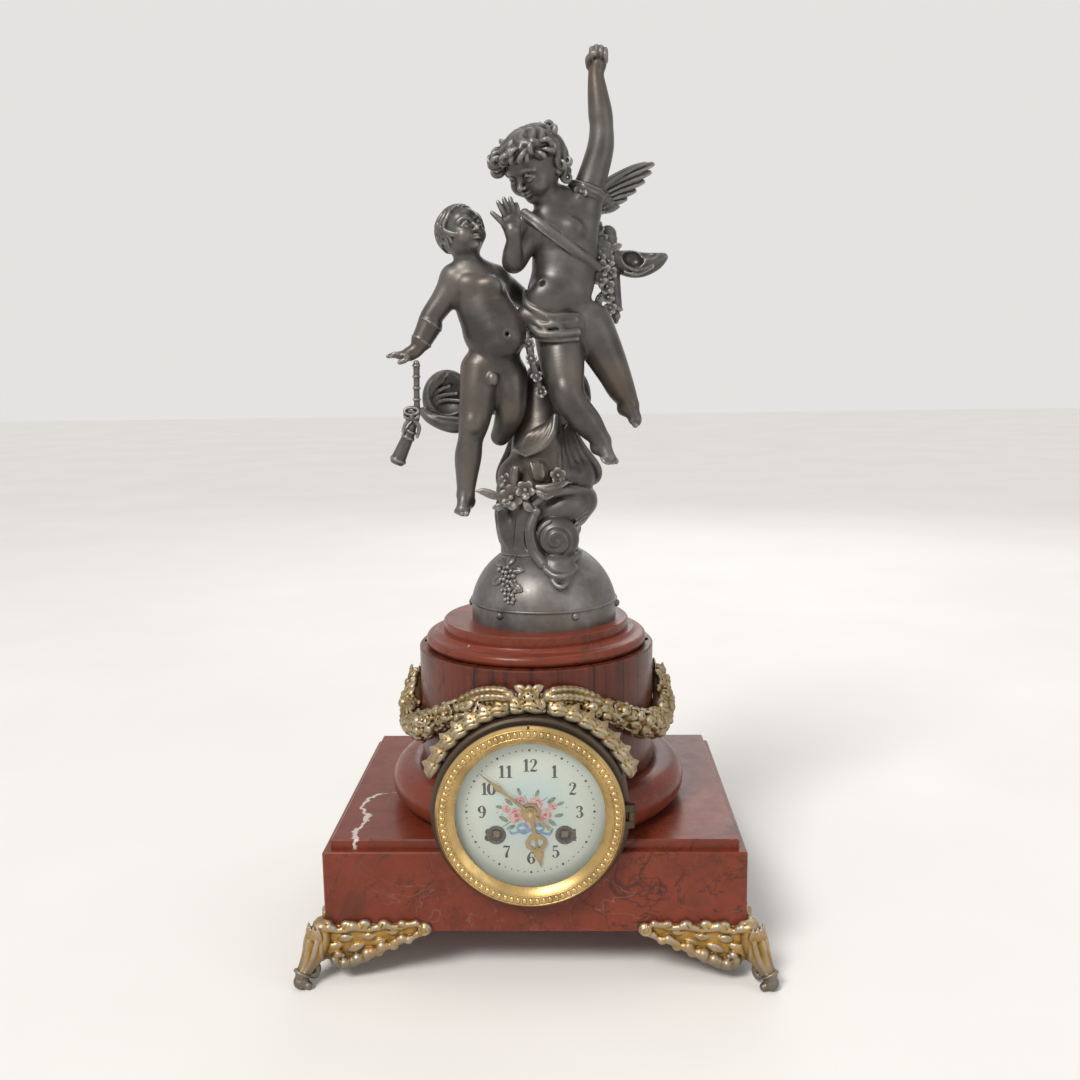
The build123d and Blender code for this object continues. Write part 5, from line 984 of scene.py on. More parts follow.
def cloud_support():
    """The cloud trunk, its scroll, flowers and the drapery that the figures stand on."""
    clay = Clay((-86, -68, 255), (56, 34, 428), 0.55)
    clay.limb([(4, -13.8, 280, 29), (5, -13, 305, 27), (6, -12, 325, 27), (8, -11, 350, 25),
        (6, -8, 380, 19), (6, -5, 402, 15), (11, -1.5, 412, 12.5)], 5)
    clay.egg((27, -11, 338), (19, 19, 16), 4)
    clay.egg((26, -14, 314), (16, 17, 15), 4)
    clay.egg((-10, -15, 338), (16, 17, 16), 4)
    clay.egg((-12, -16, 300), (15, 17, 18), 4)
    clay.egg((8, -19, 366), (17, 15, 17), 5)
    clay.egg((8, 8, 342), 20, 5)
    clay.egg((14, 10, 312), 18, 5)
    clay.egg((-12, 4, 306), 15, 5)
    clay.egg((26, 2, 396), (17, 8, 22), 4)
    clay.egg((8, 6, 378), (17, 11, 20), 5)
    # locks of cloud: a breaking wave on the right and a flame above the flowers
    for k in range(6):
        clay.limb([(27 - 1.3 * k, -23 - 0.5 * k, 377 - 1.5 * k, 2.2),
            (36 - 3.4 * k, -19 - 2.4 * k, 360 - 1.6 * k, 3.0),
            (47 - 5.6 * k, -10 - 4.4 * k, 344 - 0.8 * k, 3.0),
            (46.5 - 5.4 * k, -10 - 4.6 * k, 335 + 0.5 * k, 2.6),
            (39 - 4.2 * k, -20 - 3.4 * k, 333 + 0.6 * k, 1.9)], 0.7, 8)
    for k in range(5):
        clay.limb([(17 - 1.2 * k, -33 + 0.4 * k, 383 - 1.6 * k, 1.8),
            (15 - 4.2 * k, -37.5 + 0.8 * k, 371 - 0.6 * k, 2.9),
            (7 - 3.6 * k, -38.5 + 1.6 * k, 361 - 0.4 * k, 2.7),
            (-4 - 2.2 * k, -36 + 1.2 * k, 355.5 + 0.8 * k, 1.5)], 0.6, 8)
    for k in range(4):
        clay.limb([(20 + 5 * k, -8 + 2.0 * k, 414 - 1.0 * k, 1.6),
            (24 + 5.4 * k, -7 + 2.4 * k, 400 - k, 2.6), (23 + 5.2 * k, -7 + 2.4 * k, 387 + k, 2.4),
            (15 + 4 * k, -13 + 3 * k, 379 + 1.5 * k, 1.5)], 0.8, 6)
    # folds on the back
    for k in range(5):
        clay.limb([(22 - 9 * k, 15 + 1.2 * k, 398 - 3 * k, 2.4),
            ((27 - 8 * k, 21 + 1.6 * k * (2 - 0.5 * k), 368 - 2 * k), 3.4),
            ((26 - 9 * k, 24 + 1.4 * k * (2 - 0.5 * k), 344), 3.6), (18 - 7 * k, 23, 322 + 2 * k, 2.6)],
            1.0, 6)
    for k in range(4):
        clay.limb([(36 - 4 * k, 10 + 3 * k, 326 - 4 * k, 2.4),
            (24 - 6 * k, 24 - 0.4 * k, 316 - 5 * k, 3.4), (6 - 7 * k, 21 - 3 * k, 309 - 4 * k, 3.0),
            (-8 - 5 * k, 14 - 4 * k, 312 - 5 * k, 1.8)], 1.0, 6)
    # smooth brim over the scroll
    clay.egg((21, -30, 317), (19, 13, 12), 2.0, axes_from((0.1, -1, 0), (-0.35, 0, 1)))
    clay.egg((36, -18, 320), (11, 14, 11), 4.0)
    clay.limb([(2, -42, 321, 2.4), (12, -44, 328.0, 3.2), (24, -40, 330.5, 3.8), (35, -30, 328.5, 3.8),
        (42, -17, 325, 3.4)], 2.5, 10)
    for lift in (0, 6, 12):
        clay.limb([(44.0 - 0.6 * lift, -18, 322 - lift, 1.0), (37.5 - 0.5 * lift, -30, 315 - lift, 1.4),
            (31 - 0.3 * lift, -35, 309 - 0.8 * lift, 0.8)], 2.2, 6)
    # scroll in front with its tongue down the dome
    clay.egg((16.8, -40, 296), (16.5, 12.4, 16.5), 1.2)
    spiral = []
    for k in range(46):
        a = 1.9 + 0.29 * k
        r = 13.6 * (1 - k / 47) ** 0.9 + 0.4
        skin = -40 - 12.4 * math.sqrt(1 - (r / 16.5) ** 2)
        spiral.append(((16.8 + r * math.cos(a), skin - 0.3, 296 + r * math.sin(a)), 1.25 - 0.012 * k))
    clay.groove(spiral, 0.9, 3)
    clay.limb([(3, -43, 316, 3.4), (-1.5, -45, 303, 4.0), (1, -47, 289, 4.4), (7.5, -50.5, 279.5, 4.6)],
        1.0, 8)
    tongue = [(on_dome(18.0, 283.0), 12.0), (on_dome(18.8, 276.5, 0.5), 11.0),
        (on_dome(20.0, 269.5, 0.4), 8.0), (on_dome(20.7, 263.8, 0.2), 2.6)]
    clay.limb(tongue, 1.0, 8, ((0.22, -0.85, 0.48), 2.0))
    for rise, wide, thick in ((282.5, 12.5, 3.0), (275.0, 9.6, 2.6), (269.0, 5.6, 1.9)):
        clay.limb([(on_dome(19.2 + wide * t, rise - 5.0 * (1 - t * t), 4.0 - 2.2 * abs(t)), thick)
            for t in (-1, -0.5, 0, 0.5, 1)], 1.6, 6)
    # ribbon and bouquet
    clay.limb([(-22, -27, 313, 5.0), (-19, -30, 300, 6.2), (-14.5, -33, 290, 5.6), (-8, -39, 281.5, 3.0)],
        1.6, 6, ((-0.4, -0.9, 0), 2.6))
    clay.limb([(-6, -36, 315, 5.4), (-7, -37, 302, 5.6), (-9, -37.5, 289, 4.6)], 1.6, 6, ((-0.2, -1, 0), 2.4))
    clay.dent((-2.5, -41, 297), (3.6, 6.0, 9.0), 1.5)
    clay.egg((4.5, -40, 345), (7.2, 6.0, 8.6), 1.0, axes_from((0, -1, 0.1), (-0.5, 0, 1)))
    for k in range(4):
        clay.limb([(-0.5 + 2.6 * k, -43.9, 351.0 - 0.6 * k, 0.8),
            (1.5 + 2.2 * k, -45.4, 345.5 - 0.8 * k, 1.5), (3.0 + 1.6 * k, -44.2, 339.8, 0.8)], 1.0, 6)
    rosette(clay, (-14.5, -39.5, 326), (-0.3, -0.9, 0.1), 8.2, 6, 0.3, 0.8)
    rosette(clay, (-4.5, -43, 331.5), (-0.1, -1, 0.2), 6.4, 5, 0.8, 0.7)
    rosette(clay, (18.5, -41.5, 341.5), (0.25, -1, 0.1), 5.4, 5, 0.1, 0.6)
    rosette(clay, (-19, -34, 337), (-0.6, -0.8, 0.3), 5.4, 5, 0.5, 0.7)
    clay.limb([(-11.5, -38, 346, 3.0), (-12.5, -38.5, 338, 3.2), (-11.5, -39, 331, 2.2)], 0.8)
    leaf(clay, [(-20, -38, 325), (-28, -37.5, 327.5), (-35, -36.5, 330), (-41, -36, 330.5)],
        (0, -1, 0.25), 3.4)
    leaf(clay, [(-18, -39, 322), (-24, -38.5, 319), (-29, -37.5, 318.5)], (0, -1, 0.3), 3.2)
    leaf(clay, [(4, -44.5, 334), (12, -45.5, 333), (19.5, -44.5, 335), (27, -42.5, 337)], (0, -1, 0.35), 3.6)
    leaf(clay, [(3, -44, 331), (9, -46, 327.5), (15, -47, 327)], (0, -1, 0.2), 3.0)
    leaf(clay, [(-6, -41.5, 326), (-3, -44, 319.5), (2, -46, 316)], (0, -1, 0.2), 3.0)
    # folds and scrolls on the two sides
    side_folds = (
        ([(-14, -8, 372), (-18.5, -4, 356), (-25, -6, 340), (-24, -10, 326), (-26, -15, 310),
            (-24, -19, 292)], 2.9),
        ([(-13, 4, 366), (-17, 4, 350), (-20.5, 2, 336), (-21.5, 0, 322), (-26, -3, 306),
            (-24, -5, 290)], 2.6),
        ([(-10, 12, 356), (-13.5, 11, 340), (-16, 9, 326), (-24, 9, 312), (-23.5, 6, 297),
            (-21, 4, 286)], 2.4),
        ([(27, 8, 372), (30, 6, 356), (41, 2, 342), (38, 2, 328), (33, 4, 314), (30, 4, 292)], 2.6),
        ([(29, 18, 366), (29, 17, 350), (28, 14, 336), (36, 10, 324), (30, 12, 308), (24, 10, 290)], 2.3))
    for path, r in side_folds:
        clay.limb([(point, r * swell) for point, swell in zip(path, (0.5, 0.9, 1.0, 0.9, 1.0, 0.5))], 2.0, 8)
    volute(clay, (-20.5, -17, 329), (-1, -0.25, 0.1), 11.0, 6.5)
    volute(clay, (-19.5, 10, 301), (-0.9, 0.45, 0.1), 12.0, 7.5)
    volute(clay, (28.5, 3, 300), (1, 0.1, 0.1), 11.5, 6.5)
    # fan of drapery on the left: a dark shell with pleats above a bright folded lip
    clay.limb([(-8, -2, 394, 12), (-30, -5, 396, 13), (-48, -7, 396, 14)], 5)
    clay.egg((-62, -8, 395.5), (18.6, 9.5, 21.0), 2.5)
    clay.dent((-61, -21, 401), (17.5, 12.0, 18.8), 1.2)
    for k in range(8):
        a = math.radians(6 + 14.5 * k)
        tip = np.array((-46.0 - 20.0 * math.sin(1.25 * a), -14.5 + 1.5 * math.sin(2 * a),
            391 + 23.5 * math.sin(a)))
        mid = 0.5 * (tip + np.array((-76, -12, 387))) + np.array((-2.0, 2.2, 4.0))
        clay.limb([(-78.5, -12.5, 387.0, 1.0), (mid, 1.7), (tip, 1.5)], 0.9, 6)
    clay.limb([(-81, -11, 387, 2.6), (-74, -15, 382, 4.4), (-64, -17.5, 377, 4.6), (-54, -17.5, 375, 4.4),
        (-45, -15, 379, 4.2)], 1.5)
    for k in range(3):
        clay.limb([(-78 + 3 * k, -13.5 - 1.2 * k, 386.5 - 2.2 * k, 1.0),
            (-66 + 2 * k, -19.0, 382.5 - 3.4 * k, 1.9), (-51 + k, -19.5, 381 - 3.8 * k, 1.4)], 1.5, 6)
    for k in range(5):
        clay.limb([(-78 + 2 * k, -3 + k, 388 + 3.5 * k, 1.0), (-64, 2.4, 386 + 6 * k, 1.6),
            (-46, 4.0, 388 + 4 * k, 1.2)], 1.0, 6)
    seat_on_dome(clay)
    cast(clay, "cloud_cast", spelter, "spelter", "cloud_support", smooth=3)


def wing(clay, root, along, face):
    """A feathered wing: long feathers laid one under another, and rows of short ones over their roots."""
    along, face = unit(along), unit(face)
    above = np.cross(face, along)

    def at(a, b, c=2.5):
        return np.array(root) + a * along + b * above + c * face

    clay.limb([(at(-3, 2), 5.2), (at(8, 7.0), 4.4), (at(24, 11.0), 3.4), (at(42, 12.2), 2.6),
        (at(53, 11.2), 1.8)], 1.0, 8)
    ends = ((58, 9.0), (53.5, 4.6), (46, 0.8), (37, -2.4), (28, -4.8), (19, -6.6))
    for k, (a, b) in enumerate(ends):
        rise = 8.0 - 2.8 * k
        bow = (at(0.5 * a, 0.5 * (rise + b) + 1.6), at(0.82 * a, 0.18 * rise + 0.82 * b + 0.9))
        path = [(at(-2, rise), 2.6), (bow[0], 3.5), (bow[1], 3.6), (at(a, b), 2.2)]
        clay.limb(path, 0.30, 6, (face + 0.5 * above, 2.1))
        for side in (-1, 1):
            clay.groove([(p + 1.6 * side * face, 0.45) for p, _ in path], 0.3, 5)
    for side in (-1, 1):
        for row, (first, step, count, length, drop) in enumerate(((6, 5.6, 5, 11, 3.0), (0, 5.0, 4, 8, 0.5))):
            for k in range(count):
                a, b = first - 0.6 * row + 1.2 * k, 9.5 - step * 0.62 * k - drop
                lift = 2.5 + side * (2.0 + 0.6 * row)
                leaf(clay, [at(a, b, lift), at(a + 0.5 * length, b + 0.4, lift),
                    at(a + length, b - 0.8, lift - 0.3 * side)], side * face, 2.7, 2.0, 0.3)


def wings():
    """The upper figure's two wings."""
    clay = Clay((-14, -12, 508), (104, 46, 574), 0.42)
    wing(clay, (42.0, 8.5, 530.0), (49.0, 17.0, 24.0), (0.35, -1.0, 0.0))
    wing(clay, (18.2, -1.9, 528.1), (-26.0, 40.0, 26.0), (0.9, 0.55, 0.0))
    cast(clay, "wings_cast", spelter, "spelter", "wings")


def torch():
    """A turned rod with a ribbon bow and a flared, hollow end."""
    clay = Clay((-104, -50, 342), (-70, -32, 428), 0.42)
    clay.limb([(-79.2, -42, 421, 2.3), (-79.8, -41.4, 402, 2.1), (-80.3, -40.6, 385, 2.3),
        (-83, -40.1, 378, 2.6)], 0.6)
    for z in (419.5, 412, 404, 396, 389.5):
        clay.egg((-79.5 - 0.02 * (420 - z), -41.8 + 0.03 * (420 - z), z), (3.1, 3.1, 1.1), 0.3)
    along = unit((-10, 0, -21))
    for s, r in ((0, 4.4), (4.5, 5.0), (22, 6.0)):
        p = np.array((-85.2, -40, 373.5)) + s * along
        clay.limb([(p - 0.5 * along, r), (p + 0.5 * along, r)], 0.25, 0, (along, 3.5))
    clay.limb([(-84, -40, 376.5, 3.2), (-86.5, -40, 371, 4.2), (-92, -40, 359.5, 4.9),
        (-94.8, -40, 353.5, 5.3)], 0.5, 0)
    clay.groove([(-92.5, -40, 358, 3.3), (-97.5, -40, 347.5, 4.2)], 0.4, 0)
    for k in (-1, 1):
        loop = [((-83 + 6.0 * math.sin(a) * k * 0.8 - 0.5, -43.6 - 0.8 * math.cos(a),
            384 + 4.2 * (1 - math.cos(a)) * 0.6 + 1.5 * k), 1.3) for a in np.linspace(0, 2 * math.pi, 12)]
        clay.limb(loop, 0.3, 2, ((0, 1, 0), 0.8))
    clay.limb([(-83, -44, 383.5, 1.6), (-78.5, -44.5, 377, 1.5), (-80, -44, 370, 1.2)], 0.4)
    clay.limb([(-84, -44, 383.5, 1.6), (-88, -44.8, 379, 1.4), (-90, -44.5, 374, 1.1)], 0.4)
    clay.egg((-83.4, -44.2, 384.2), 2.2, 0.4)
    cast(clay, "torch_cast", spelter, "spelter", "torch")


def dome_vine():
    """A bunch of grapes with leaves, cast on the front of the dome."""
    clay = Clay((-38, -76, 244), (4, -34, 286), 0.40)
    dice = random.Random(3)
    bunch = ((4, 276.0), (5, 273.2), (4, 270.4), (5, 267.6), (3, 264.8), (4, 262.0), (3, 259.2),
        (3, 256.4), (2, 253.6))
    for row, (wide, z) in enumerate(bunch):
        for k in range(wide):
            x = -18.5 + 0.35 * row + 2.9 * (k - (wide - 1) / 2) + dice.uniform(-0.7, 0.7)
            clay.egg(on_dome(x, z + dice.uniform(-0.7, 0.7), dice.uniform(0.3, 1.2)),
                1.7 + dice.uniform(-0.25, 0.3), 0.15)
    vine_leaves = ((-19, 277, -9, 1.5), (-17, 278, 3, 3.5), (-15, 275, 9, 0), (-22, 269, -6, -4),
        (-14, 266, 7, -4))
    for x, z, dx, dz in vine_leaves:
        path = [on_dome(x + dx * t, z + dz * t, 0.9) for t in (0.0, 0.5, 1.0)]
        leaf(clay, path, path[1] - np.array((GROUP_X, DRUM_Y, 245.0)), 3.6, 2.0, 0.4)
    clay.limb([(on_dome(-24, 280.5, 0.4), 0.9), (on_dome(-19, 279.5, 0.8), 1.1),
        (on_dome(-17.5, 275, 0.8), 0.9)], 0.3)
    seat_on_dome(clay)
    cast(clay, "dome_vine", vine_metal, "spelter")


figure_right()
figure_left()
cloud_support()
wings()
torch()
dome_vine()


# Gilt mounts on the stone
def drum_point(turn, out, z):
    """A point off the drum, at a turn in degrees from the front towards the right."""
    a = math.radians(turn)
    return np.array((DRUM_X + (DRUM_R + out) * math.sin(a), DRUM_Y - (DRUM_R + out) * math.cos(a), z))


def ring_point(turn, r, y):
    """A point round the clock axis, at an angle in degrees from the right."""
    a = math.radians(turn)
    return np.array((CLOCK_X + r * math.cos(a), y, CLOCK_Z + r * math.sin(a)))


def keep_off_stone(clay):
    """Cut a mount back to the drum and the bezel frame that it lies on."""
    x, y, _ = clay.points(origin=(DRUM_X, DRUM_Y, 0))
    clay.trim(np.float32(DRUM_R + 0.15) - np.sqrt(x ** 2 + y ** 2))
    x, _, z = clay.points(origin=(CLOCK_X, 0, CLOCK_Z))
    clay.trim(np.float32(FRAME_R) - np.sqrt(x ** 2 + z ** 2))


# A swag's run as turn round the drum, distance off it, height and thickness, and half the crest's angle
CREST_TURN = 9.9
garland_run = [(24.0, 5.5, 190.0, 9.0), (36.0, 5.0, 182.5, 10.0), (48.0, 5.5, 173.0, 11.0),
    (60.0, 6.5, 164.0, 11.5), (72.0, 7.0, 162.0, 11.5), (83.0, 6.5, 168.0, 11.0), (91.0, 5.5, 178.0, 9.0),
    (96.0, 5.0, 187.0, 7.0)]


def ornament(clay, kind, place, out, along, r, dice):
    """One piece of a garland: a flower, a fruit, a bunch of berries or a pair of leaves."""
    out, along = unit(out), unit(along)
    across = np.cross(out, along)
    if kind == "flower":
        rosette(clay, place, out, 1.15 * r, 5 + dice.randrange(2), dice.uniform(0, 1), 0.4)
    elif kind == "fruit":
        clay.egg(place, 0.88 * r, 0.4)
        clay.dent(place + 0.88 * r * out, 0.24 * r, 0.4)
    elif kind == "berries":
        for b in range(5):
            a = 1.26 * b + dice.uniform(-0.2, 0.2)
            clay.egg(place + 0.62 * r * (math.cos(a) * along + math.sin(a) * across), 0.44 * r, 0.25)
        clay.egg(place + 0.35 * r * out, 0.46 * r, 0.25)
    else:
        for k in (-1, 1):
            ray = unit(along * dice.uniform(0.4, 1.0) * k + across * dice.uniform(-0.9, 0.9))
            leaf(clay, [place - 0.4 * r * ray, place + 0.5 * r * ray + 0.35 * r * out,
                place + 1.55 * r * ray + 0.1 * r * out], out, 0.72 * r, 2.0, 0.4)


def garland(side):
    """A swag of flowers, fruit and leaves from the bezel frame round the drum's flank."""
    left = side < 0
    clay = Clay((-112 if left else -4, -118, 136), (2 if left else 112, 24, 208), 0.52)
    dice = random.Random(21 if left else 22)
    last = len(garland_run) - 1
    run = []
    for k, (turn, out, z, r) in enumerate(garland_run):
        lift = 0.0 if left else 2.0 * k / last
        run.append((drum_point(side * turn, out, z + lift), r))
    rope = flow(run, 3)
    clay.limb([(p, 0.66 * r) for p, r in rope], 2.0, 0)
    upward = np.array((0.0, 0.0, 1.0))
    for k, (p, r) in enumerate(rope):
        ahead = unit(rope[min(k + 1, len(rope) - 1)][0] - rope[max(k - 1, 0)][0])
        away = unit(p - np.array((DRUM_X, DRUM_Y, p[2])))
        for turn in (-80, -28, 24, 76):
            a = math.radians(turn + dice.uniform(-12, 12))
            rise = unit(upward - (upward @ ahead) * ahead)
            out = math.cos(a) * away + math.sin(a) * rise
            place = p + (0.52 + 0.16 * dice.random()) * r * out + dice.uniform(-0.2, 0.2) * r * ahead
            kind = ("flower", "leaves", "fruit", "berries", "flower", "leaves", "fruit")[dice.randrange(7)]
            ornament(clay, kind, place, out, ahead, 0.42 * r + 0.4 + dice.uniform(-0.5, 0.6), dice)
    tip = run[-1][0]
    for turn, z in ((1.0, 9.0), (-4.5, 7.0), (5.0, 5.0)):
        base = garland_run[-1][0]
        ends = [drum_point(side * (base + turn * t), 2.6, tip[2] + z * t) for t in (0.2, 0.6, 1.0)]
        leaf(clay, ends, ends[1] - np.array((DRUM_X, DRUM_Y, ends[1][2])), 2.8, 2.0, 0.4)
    # leaves that carry the swag out of the crest
    bends = ((13.5, -104.0, 199.0), (24, -101.5, 199.5), (34.5, -97.5, 197.0), (45, -91.5, 190.5))
    arm = [((CLOCK_X + side * x, y, z), 5.2) for x, y, z in bends]
    clay.limb(arm, 1.0, 8)
    strand = flow(arm, 3)
    for (p, r), (q, _) in zip(strand, strand[1:]):
        along = unit(q - p)
        for rise, turn in ((0.9, 0.35), (0.0, 0.9), (-0.8, 0.5)):
            out = unit((0.15 * side, -turn, rise))
            base = p + 0.75 * r * out
            leaf(clay, [base, base + 3.2 * along + 1.6 * out, base + 7.0 * along + 1.2 * out], out, 2.7,
                1.7, 0.4)
    leaf_edge(clay, *((99.6, 158.0) if left else (80.4, 22.0)), 7)
    keep_off_stone(clay)
    name = "garland_left" if left else "garland_right"
    cast(clay, name + "_cast", gilt, "gilt", name)


def leaf_edge(clay, first, final, count):
    """A thick border of overlapping acanthus leaves round the bezel frame, between two angles."""
    core = [(ring_point(first + (final - first) * k / 20, 71.2, -104.0), 3.7) for k in range(21)]
    clay.limb(core, 0.8, 0)
    step = (final - first) / count
    ahead = np.array((0.0, -1.0, 0.0))
    for k in range(count):
        a = first + step * (k + 0.15)
        out = np.array((math.cos(math.radians(a)), 0.0, math.sin(math.radians(a))))
        leaf(clay, [ring_point(a, 68.8, -107.5), ring_point(a + 0.45 * step, 71.4, -110.6),
            ring_point(a + 0.95 * step, 72.4, -110.4), ring_point(a + 1.35 * step, 70.2, -109.0)],
            ahead + 0.3 * out, 4.2, 2.2, 0.5)
        for t, reach, wide in ((0.10, 77.0, 3.4), (0.42, 80.0, 4.2), (0.80, 76.2, 3.2)):
            path = [ring_point(a + t * step, 70.4, -108.0), ring_point(a + (t + 0.10) * step, 74.2, -108.6),
                ring_point(a + (t + 0.24) * step, reach, -105.0)]
            leaf(clay, path, ahead + 0.7 * out, wide, 1.8, 0.5)
        for t in (0.05, 0.52):
            clay.egg(ring_point(a + t * step, 69.6, -109.0), 1.9, 0.4)
            clay.egg(ring_point(a + (t + 0.12) * step, 74.8, -104.0), 2.3, 0.4)


def garland_crest():
    """Flowers over the middle of the bezel frame, with two leaves that cross and two that rise."""
    clay = Clay((-26, -120, 184), (22, -94, 212), 0.45)
    leaf_edge(clay, 80.2, 99.8, 2)
    blooms = ((CLOCK_X - 8.6, -103, 195, 6.6), (CLOCK_X + 8.6, -103, 195, 6.6),
        (CLOCK_X, -105, 198.4, 7.4))
    for x, y, z, r in blooms:
        clay.egg((x, y, z), 0.8 * r, 1.0)
        rosette(clay, (x, y - 0.35 * r, z), (0, -1, 0.25), 0.92 * r, 6, 0.3, 0.5)
    berries = ((-4.6, 203.0, 2.2), (4.6, 203.0, 2.2), (-4.4, 192.6, 2.0), (4.4, 192.6, 2.0),
        (0.0, 205.4, 2.4))
    for x, z, r in berries:
        clay.egg((CLOCK_X + x, -105.5, z), r, 0.4)
    for k in (-1, 1):
        leaf(clay, [(CLOCK_X + 2 * k, -105, 202), (CLOCK_X + 5.5 * k, -106.5, 205),
            (CLOCK_X + 10.0 * k, -105, 206.6)], (0.2 * k, -1, 0.3), 3.2, 2.0, 0.4)
        leaf(clay, [(CLOCK_X + 1 * k, -109, 193), (CLOCK_X + 6 * k, -109.8, 191.2),
            (CLOCK_X + 11.5 * k, -108.6, 191.5)], (0, -1, 0), 3.0, 2.0, 0.4)
    keep_off_stone(clay)
    x, _, z = clay.points(origin=(CLOCK_X, 0, CLOCK_Z))
    turn = np.abs(np.arctan2(x, z)) - np.float32(math.radians(CREST_TURN))
    clay.trim(turn * np.sqrt(x ** 2 + z ** 2))
    cast(clay, "garland_crest_cast", gilt, "gilt", "garland_crest")


def foot_face(clay, at):
    """The leaf on one face of the block; at gives a point along the face, out of it and up."""
    out_way = at(0, 1, 0)

    def knob(along, out, z, radii, soft):
        clay.egg(at(along, out, z), tuple(abs(float(r)) for r in at(*radii)), soft)

    # body of the leaf, sunk between a lobed edge above and a stronger one below that ends in a scroll
    bodies = (
        ([(0, 1.0, 26, 12.5), (16, 1.0, 27.5, 12.0), (32, 1.0, 30.5, 9.8), (50, 0.8, 34, 6.6),
            (66, 0.8, 36.6, 4.2)], 4.2),
        ([(8, 1.2, 20.0, 8.6), (20, 1.2, 20.5, 7.6), (32, 1.2, 24.6, 6.2), (45, 1.0, 29.0, 5.0),
            (60, 1.0, 33.4, 3.6)], 3.2))
    for body, flat in bodies:
        clay.limb([(at(*p), r) for *p, r in body], 1.2, 10, (out_way, flat))
    upper = [(-2, 5.0, 38.0, 2.9), (14, 3.4, 37.6, 2.7), (32, 3.0, 38.0, 2.5), (50, 2.8, 39.0, 2.2),
        (66, 2.8, 40.0, 1.8)]
    lower = [(68, 2.6, 33.8, 2.0), (58, 2.8, 30.6, 2.4), (45, 3.2, 26.0, 2.9), (36, 3.6, 21.8, 3.3),
        (28, 4.0, 17.8, 3.6), (20, 4.6, 14.0, 3.5), (13.0, 5.4, 12.0, 3.2), (7.6, 5.8, 14.6, 2.8),
        (8.8, 6.0, 19.0, 2.4), (12.8, 5.8, 19.2, 1.8)]
    for edge, lobed in ((upper, 1.3), (lower, 0.9)):
        run = flow([(at(*p), r) for *p, r in edge], 9)
        turns = [math.sin(0.62 * k) + 0.35 * math.sin(1.7 * k) for k in range(len(run))]
        clay.limb([(p + (0.0, 0.0, lobed * t), r * (1 + 0.26 * t)) for (p, r), t in zip(run, turns)], 0.6, 0)
    for u, z, r in ((2, 40.4, 4.4), (15.5, 40.0, 4.2), (28, 40.6, 4.4), (41, 40.8, 3.9), (54, 41.0, 3.4)):
        knob(u, 2.6, z, (r, 2.8, 0.72 * r), 1.0)
        clay.groove([(at(u - 0.4 * r, 5.4, z - 2.4), 0.5), (at(u + 0.1 * r, 5.4, z + 0.4 * r), 0.4)], 0.4)
    for u, z, r in ((58, 29.0, 3.2), (47.5, 24.8, 3.6), (37, 20.2, 3.9), (28, 15.8, 3.8)):
        knob(u, 3.0, z, (r, 2.8, 0.85 * r), 1.0)
    blades = ((6, 24, 6.0, 0.9), (15, 31, 4.6, 0.2), (22, 24.5, 5.0, 0.7), (31, 32, 4.0, 0.1),
        (38, 28.4, 3.8, 0.6), (48, 35, 3.0, 0.3))
    for u, z, r, rise in blades:
        path = [at(u - 1.3 * r, 3.2 - 0.01 * u, z - rise * r), at(u, 4.8 - 0.03 * u, z),
            at(u + 1.2 * r, 3.6 - 0.02 * u, z + 0.5 * rise * r)]
        leaf(clay, path, out_way, 0.66 * r, 1.7, 0.8)
    # rolled end
    knob(69.5, 2.6, 37.0, (4.7, 3.0, 4.7), 0.7)
    curl = []
    for k in range(24):
        a = 2.2 + 0.42 * k
        r = 3.9 * (1 - k / 26)
        curl.append((at(69.5 + r * math.cos(a), 5.0, 37.0 + r * math.sin(a)), 1.0 - 0.012 * k))
    clay.limb(curl, 0.3, 2)
    # flange under the block
    low, high = at(0, 0, 30.2), at(57, -17.5, 34.0)
    clay.slab(np.minimum(low, high), np.maximum(low, high), 0.4)


